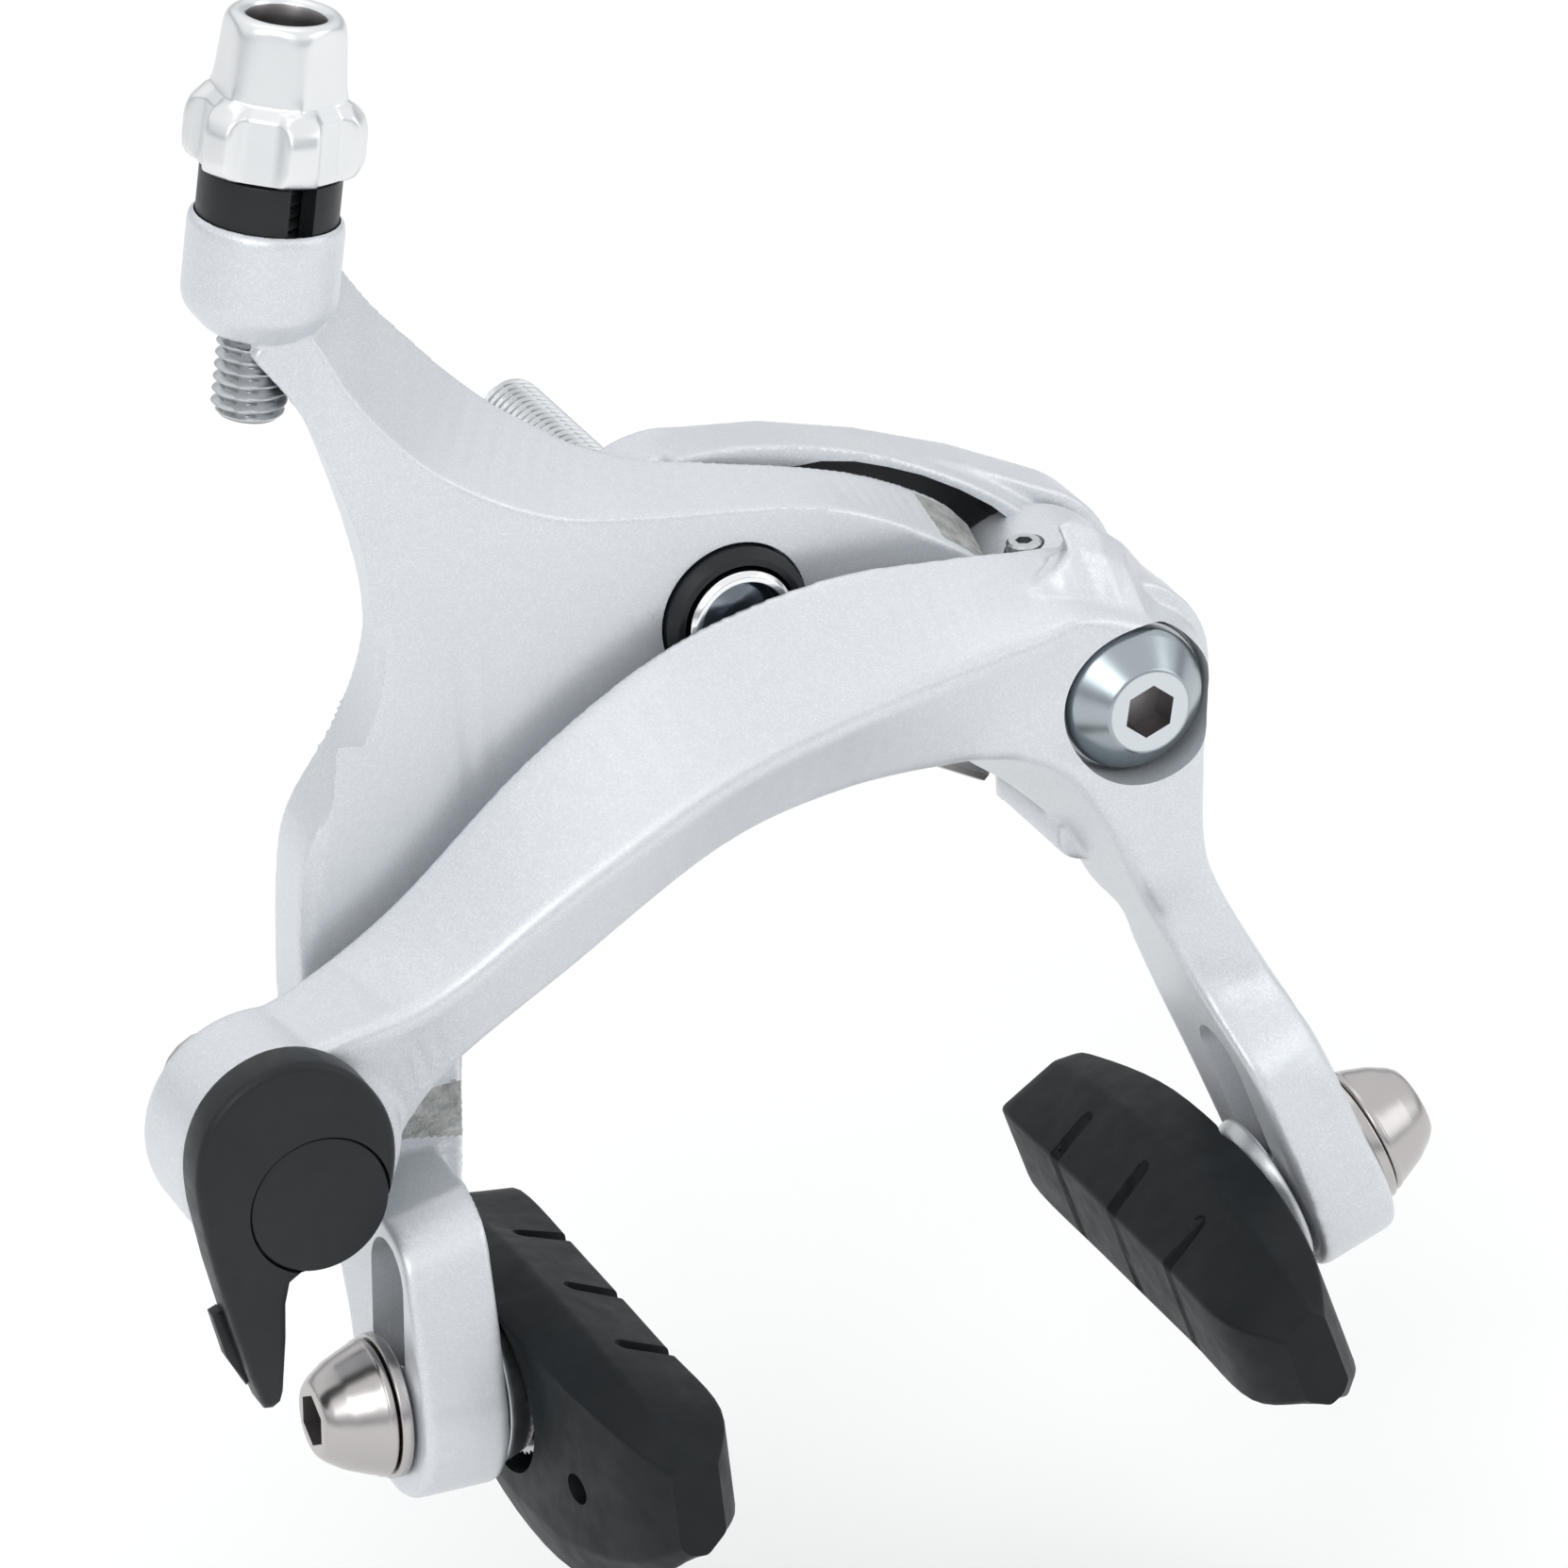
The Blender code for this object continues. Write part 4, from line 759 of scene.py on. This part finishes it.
def side_pivot():
    y = PIVOT_HEAD_FACE
    profile = [(0.0, 0.0), (3.6, 0.0), (3.95, -0.35), (5.9, -2.3), (6.15, -2.8), (6.15, -3.4), (3.0, -3.4),
               (3.0, -31.0), (0.0, -31.0)]
    head = lathe("head", profile, stand((PIVOT[0], y, PIVOT[1]), FORWARD), 0.25, 80)
    socket = hexagon("socket", KEY_ACROSS, 4.0, stand((PIVOT[0], y + 2.6, PIVOT[1]), FORWARD, 20.0))
    show(cut(head, socket), "side_pivot_bolt", SATIN)

    def inside(at, normal):
        return math.hypot(at.x - PIVOT[0], at.z - PIVOT[1]) < KEY_REACH and at.y > y + 0.02
    # Painted shade: the socket's inner faces take the dark steel.
    tint(head, SOCKET_SHADE, inside)
    tint(head, RING, lambda at, normal: normal.y < -0.97 and at.y < y + 0.3)
    washer = [(STUD_HOLE, 0.7), (6.45, 0.7), (6.45, 0.0), (STUD_HOLE, 0.0)]
    front_lathe("side_pivot_washer", washer, PIVOT[0], PIVOT[1], -28.6, ZINC, 0.12)


# ---------------------------------------------------------------- cable adjuster

PANEL_TURN = -3.0
GRIP_HEIGHT = 12.3

# Heights along the boss's axis, from its centre.
GRIP_BASE = 10.3
COLLAR_BASE = 5.4
SHANK_BASE = -10.4


def grip_shape(angle, radius, height):
    """Six lobes round the skirt, with flat panels between them that run up into the neck's facets."""
    if radius < 4.0:
        return radius
    turn = (math.degrees(angle) + 30.0) % 60.0 - 30.0
    step = min(1.0, max(0.0, (5.9 - height) / 0.9))
    panel = 4.50 + 0.045 * (GRIP_HEIGHT - height) + 0.75 * step
    other = panel / math.cos(math.radians(turn)) + step * 0.16 * max(0.0, abs(turn) - 13.0)
    soft = 0.35
    near = max(soft - abs(radius - other), 0.0) / soft
    return min(radius, other) - 0.25 * soft * near * near


def adjuster():
    profile = [(3.0, 0.0), (6.3, 0.0), (6.9, 0.4), (7.15, 1.2), (7.15, 3.6), (6.85, 4.6), (6.2, 5.3),
               (5.6, 6.0), (5.3, 6.8), (5.2, 7.6), (5.1, 8.6), (4.95, 10.2), (4.85, 11.2), (4.6, 11.9),
               (4.1, GRIP_HEIGHT), (3.5, GRIP_HEIGHT), (3.15, 11.9), (3.0, 11.0)]
    place = stand(boss_point(GRIP_BASE), BOSS_AXIS, PANEL_TURN)
    grip = lathe("grip", profile, place, 0.35, 180, grip_shape)
    show(grip, "adjuster_barrel", SATIN_WHITE, 60.0)
    inverse = place.inverted()

    def inside(at, normal):
        local = inverse @ (at * MM) / MM
        return local.xy.length < 3.3 and local.z < 11.9
    # Painted shade: the faces inside the bore take the dark steel.
    tint(grip, SOCKET_SHADE, inside)
    profile = [(3.5, 4.6), (5.62, 4.6), (5.62, 0.0), (3.5, 0.0)]
    ring = lathe("ring", profile, stand(boss_point(COLLAR_BASE), BOSS_AXIS), 0.2)
    place = stand(boss_point(7.0) + Vector((0.1, -0.995, 0.0)) * 4.8, BOSS_AXIS, 6.0)
    slit = prism("slit", [(-1.1, -3.0), (1.1, -3.0), (1.1, 3.0), (-1.1, 3.0)], -4.0, 4.0, place)
    show(cut(ring, slit), "adjuster_collar", BLACK)
    place = stand(boss_point(SHANK_BASE), BOSS_AXIS)
    shank = threaded("shank", STUD_RADIUS, 0.0, 20.0, THREAD_PITCH, place, 1.5)
    liner = lathe("liner", [(1.5, 27.0), (2.7, 27.0), (2.7, 19.0), (1.5, 19.0)], place, 0.0, 48)
    cut(shank, liner, operation="UNION")
    show(shank, "adjuster_bolt", ZINC)
    inverse = place.inverted()
    # Painted shade: the thread roots take the darker grey.
    tint(shank, ROOT_SHADE, lambda at, normal: 1.9 < (inverse @ (at * MM) / MM).xy.length < 2.5)


# ---------------------------------------------------------------- quick release

def quick_release():
    head = [(1.0, -5.6), (3.6, -4.0), (5.6, -1.6), (6.6, 1.6), (6.7, 4.8), (5.8, 7.8), (3.8, 10.6),
            (0.9, 12.5), (-2.4, 13.0), (-5.7, 12.0), (-8.2, 9.9), (-9.6, 7.2), (-10.1, 4.4), (-10.0, 1.6)]
    outer = [(-9.2, -3.6), (-8.1, -8.9), (-6.9, -14.0), (-6.1, -16.6)]
    tip = [(-5.9, -17.2), (-5.2, -17.3), (-4.5, -16.9), (-4.2, -16.0)]
    inner = [(-3.6, -11.2), (-3.4, -8.2), (-2.9, -6.4), (-1.9, -5.8), (-0.4, -5.9)]
    outline = [tuple(point) for point in curve_through(head, 4)] + outer + tip + inner
    tab = [(-8.2, -8.4), (-9.0, -8.7), (-8.1, -12.8), (-6.6, -15.8), (-5.6, -14.0)]
    place = Matrix.Translation(Vector((QR[0], 0.0, QR[1])) * MM) @ front_plane()
    lever = prism("lever", outline, 31.5, 35.4, place, 0.9, 4)
    cut(lever, prism("tab", tab, 31.8, 33.2, place, 0.15, 2), operation="UNION")
    seat = rod("seat", 6.0, 4.0, stand((QR[0], -34.0, QR[1]), FORWARD), 64)
    shaft = rod("shaft", 3.5, 12.0, stand((QR[0], -28.0, QR[1]), FORWARD))
    show(cut(lever, seat, shaft), "quick_release_lever", BLACK, 50.0)
    disc = [(0.0, 1.25), (3.0, 1.25), (5.85, 1.15), (5.85, 0.0), (0.0, 0.0)]
    front_lathe("quick_release_cap", disc, QR[0], QR[1], -34.1, BLACK, 0.2, 80)
    spindle = [(0.0, 16.8), (3.2, 16.8), (3.2, 14.6), (3.7, 14.4), (3.7, 4.4), (4.5, 4.2), (4.5, 0.0),
               (0.0, 0.0)]
    hole = rod("hole", 2.8, 9.0, stand((QR[0], -15.0, QR[1]), FORWARD))
    front_lathe("quick_release_cam", spindle, QR[0], QR[1], -16.8, ZINC, 0.15, 64, (hole,))


# ---------------------------------------------------------------- brake shoes

def pad_matrix(side):
    """X from the leg to the rim, with the pad turned about its seat on the bolt."""
    sign = SIDE[side]
    seat = Vector((sign * PAD_SEAT * MM, 0.0, 0.0))
    turn = Matrix.Rotation(math.radians(PAD_TILT[side] - LEG_TILT[side]), 4, "Y")
    return bolt_frame(side) @ Matrix.Translation(seat) @ turn @ Matrix.Translation(-seat)


def shoe(side):
    sign = SIDE[side]
    shift = PAD_SHIFT[side]
    stations = (23.5, 21.5, 8.0, -8.0, -19.0, -24.5)
    face = ((15.6, 2.4), (PAD_FACE, 4.2), (PAD_FACE, 4.6), (PAD_FACE, 4.6), (PAD_FACE, 4.5), (14.2, 3.2))
    ridge = ((10.9, 4.4), (10.8, 5.6), (10.6, 8.0), (10.6, 8.2), (10.8, 6.8), (11.2, 4.6))
    back = ((9.0, 3.8), (8.0, 5.0), (6.0, 7.2), (6.0, 7.2), (7.6, 5.8), (10.2, 3.4))
    lip = ((8.6, -4.0), (7.2, -6.4), (5.4, -9.0), (5.4, -9.0), (7.6, -6.8), (10.2, -3.4))
    toe = ((9.4, -5.4), (8.4, -9.0), (6.6, -13.2), (6.6, -13.4), (9.2, -9.0), (11.0, -4.4))
    low_ridge = ((12.0, -5.4), (11.9, -7.4), (11.6, -9.0), (11.6, -9.0), (11.9, -7.2), (12.4, -4.8))
    low_face = tuple((x, -z) for x, z in face)
    lines = []
    for edge in (face, ridge, back, lip, toe, low_ridge, low_face):
        lines.append([(sign * x, y + shift, z) for y, (x, z) in zip(stations, edge)])
    pad = loft("pad", lines, 0.4, 6, 3)
    place = pad_matrix(side)
    moved(pad, place)
    across = Matrix(((sign, 0, 0, 0), (0, 1, 0, 0), (0, 0, 1, 0), (0, 0, 0, 1)))
    cutters = []
    for y in (groove + shift for groove in PAD_GROOVES):
        channel = [(20.0, y - 0.8), (20.0, y + 0.8)] + arc((PAD_FACE - 3.9, y), 0.8, 90.0, 270.0, 9)
        cutters.append(prism("groove", channel, -12.0, 12.0, place @ across))
    inward = (sign, 0.0, 0.0)
    cutters.append(rod("pocket", 7.5, PAD_SEAT, place @ stand(ORIGIN, inward), 64))
    cutters.append(rod("hole", 4.4, 9.0, place @ stand((sign * 4.4, 0.0, 0.0), inward)))
    cutters.append(rod("drain", 1.35, 9.0, place @ stand((sign * 3.0, shift - 13.0, -2.6), inward), 24))
    node = side + "_shoe"
    show(cut(pad, *cutters), node, RUBBER, 25.0)
    ring = lathe("plate", [(3.9, 0.5), (7.1, 0.5), (7.1, 0.0), (3.9, 0.0)],
                 place @ stand((sign * (PAD_SEAT - 0.6), 0.0, 0.0), inward), 0.1)
    show(ring, side + "_shoe_plate", ZINC)


def shoe_hardware(side):
    sign = SIDE[side]
    base = bolt_frame(side)
    inward = (sign, 0.0, 0.0)
    outward = (-sign, 0.0, 0.0)
    place = base @ stand((-sign * 8.4, 0.0, 0.0), inward)
    stud = threaded("stud", STUD_RADIUS, 0.0, 17.4, THREAD_PITCH, place, depth=0.5)
    head = lathe("head", [(0.0, 17.0), (3.6, 17.0), (3.6, 20.8), (0.0, 20.8)], place, 0.3)
    show(cut(stud, head, operation="UNION"), side + "_shoe_stud", STAINLESS)
    place = base @ stand((-sign * (LEG_HALF + 1.6), 0.0, 0.0), outward)
    dome = [(0.0, 5.2), (3.0, 5.2), (3.6, 4.6), (4.5, 3.2), (5.2, 1.5), (5.55, 0.55), (5.7, 0.4),
            (5.7, -0.15), (0.0, -0.15)]
    nut = lathe("nut", dome, place, 0.3, 80)
    bore = rod("bore", STUD_HOLE, 4.0, place @ Matrix.Translation((0.0, 0.0, -0.6 * MM)))
    socket = hexagon("socket", KEY_ACROSS, 4.0, place @ Matrix.Translation((0.0, 0.0, 2.6 * MM)))
    show(cut(nut, bore, socket), side + "_dome_nut", STAINLESS, 40.0)
    inverse = place.inverted()

    def inside(at, normal):
        local = inverse @ (at * MM) / MM
        return local.z > 2.58 and local.xy.length < KEY_REACH and local.z < 5.18
    # Painted shade: the socket's inner faces take the dark steel.
    tint(nut, SOCKET_SHADE, inside)
    outer = lathe("outer", [(STUD_HOLE, 1.0), (6.0, 1.0), (6.0, 0.0), (STUD_HOLE, 0.0)],
                  base @ stand((-sign * (LEG_HALF + 1.3), 0.0, 0.0), inward), 0.2)
    show(outer, side + "_outer_washer", STAINLESS)
    disc = lathe("disc", [(STUD_HOLE, 2.6), (6.0, 2.6), (6.8, 0.4), (6.8, 0.0), (STUD_HOLE, 0.0)],
                 base @ stand((sign * (LEG_HALF + WASHER_GAP), 0.0, 0.0), inward), 0.2)
    show(disc, side + "_spacer_disc", ZINC)
    outline = toothed(40, ((-0.25, 6.3), (0.25, 6.6)))
    place = base @ stand((sign * (LEG_HALF + 3.2), 0.0, 0.0), inward)
    washer = prism("serrated", outline, 0.0, 1.6, place, 0.1, 2)
    cut(washer, rod("hole", STUD_HOLE, 4.0, base @ stand((sign * (LEG_HALF + 2.0), 0.0, 0.0), inward)))
    show(washer, side + "_serrated_washer", STAINLESS)


# ---------------------------------------------------------------- pieces that keep their CAD shape

def carried_over():
    finishes = {"zinc": ZINC, "stainless": STAINLESS, "chrome": CHROME, "black_plastic": BLACK,
                "white_nylon": NYLON, "silver_paint": SILVER, "pad_rubber": RUBBER}
    for name, obj in frame["nodes"].items():
        if obj.hide_render:
            continue
        material = finishes[SLOT_OF[name]]
        if not obj.data.materials:
            obj.data.materials.append(material)
        for slot in obj.material_slots:
            slot.material = material


# ---------------------------------------------------------------- studio

AZIMUTH = -23.431
ELEVATION = 26.664
ROLL = -2.629
DISTANCE = 688.45
LENS = 191.56
AIM = (11.885, -21.009)


def camera():
    a, e, r = (math.radians(v) for v in (AZIMUTH, ELEVATION, ROLL))
    back = Vector((math.sin(a) * math.cos(e), -math.cos(a) * math.cos(e), math.sin(e)))
    right = Vector((math.cos(a), math.sin(a), 0.0))
    up = back.cross(right)
    across = right * math.cos(r) + up * math.sin(r)
    above = up * math.cos(r) - right * math.sin(r)
    data = bpy.data.cameras.new("camera")
    data.lens = LENS
    data.sensor_width = 36.0
    data.clip_start = 0.01
    obj = bpy.data.objects.new("camera", data)
    bpy.context.scene.collection.objects.link(obj)
    place = (back * DISTANCE + across * AIM[0] + above * AIM[1]) * MM
    turn = Matrix((across, above, back)).transposed()
    obj.matrix_world = Matrix.Translation(place) @ turn.to_4x4()
    bpy.context.scene.camera = obj


def soft_light(name, place, target, size, power):
    data = bpy.data.lights.new(name, "AREA")
    data.shape = "RECTANGLE"
    data.size, data.size_y = size
    data.energy = power
    obj = bpy.data.objects.new(name, data)
    bpy.context.scene.collection.objects.link(obj)
    away = Vector(place) - Vector(target)
    turn = away.to_track_quat("Z", "Y").to_matrix().to_4x4()
    obj.matrix_world = Matrix.Translation(Vector(place)) @ turn


# Lengths in the studio are in metres, and the lights' powers in watts.
FLOOR_HALF = 6.0
FLOOR_HEIGHT = -0.10
LIT_POINT = (0.0, -0.02, -0.01)
LIGHTS = (("key", (-0.55, -0.65, 0.55), (0.5, 0.5), 2.1),
          ("fill", (0.8, -0.5, 0.35), (0.6, 0.6), 1.1),
          ("top", (0.0, 0.15, 0.9), (0.8, 0.5), 0.65))
SKY_LEVELS = ((0.04, 0.42), (0.16, 0.46), (0.30, 0.95))


def paper_floor():
    bm = bmesh.new()
    corners = []
    for x, y in ((-1, -1), (1, -1), (1, 1), (-1, 1)):
        corners.append(bm.verts.new((x * FLOOR_HALF, y * FLOOR_HALF, FLOOR_HEIGHT)))
    bm.faces.new(corners)
    floor = add("floor", bm)
    paper = Shader("white_paper", (0.93, 0.93, 0.93), 0.0, 0.9)
    shades = paper.mix(paper.noise(30.0, 2.0), (0.92, 0.92, 0.92, 1.0), (0.94, 0.94, 0.94, 1.0))
    paper.link(shades, "Base Color")
    floor.data.materials.append(paper.material)


def studio():
    """A white surround that is greyer near the horizon, and three soft lights."""
    world = bpy.data.worlds.new("studio")
    world.use_nodes = True
    tree = world.node_tree
    place = tree.nodes.new("ShaderNodeTexCoord").outputs["Generated"]
    split = tree.nodes.new("ShaderNodeSeparateXYZ")
    tree.links.new(place, split.inputs["Vector"])
    ramp = tree.nodes.new("ShaderNodeValToRGB")
    ramp.color_ramp.interpolation = "EASE"
    stops = ramp.color_ramp.elements
    stops[0].position, stops[0].color = 0.0, (0.85, 0.87, 0.90, 1.0)
    stops[1].position, stops[1].color = 0.60, (1.0, 1.0, 1.0, 1.0)
    for position, level in SKY_LEVELS:
        stop = stops.new(position)
        stop.color = (level, level * 1.02, level * 1.04, 1.0)
    tree.links.new(split.outputs["Z"], ramp.inputs["Fac"])
    tree.links.new(ramp.outputs["Color"], tree.nodes["Background"].inputs["Color"])
    tree.nodes["Background"].inputs["Strength"].default_value = 1.0
    bpy.context.scene.world = world
    for name, spot, size, power in LIGHTS:
        soft_light(name, spot, LIT_POINT, size, power)
    bpy.context.scene.view_settings.view_transform = "Standard"


y_arm()
c_arm()
bracket()
centre_bolt()
centre_stack()
side_pivot()
adjuster()
quick_release()
for side_name in ("left", "right"):
    shoe(side_name)
    shoe_hardware(side_name)
carried_over()
camera()
paper_floor()
studio()
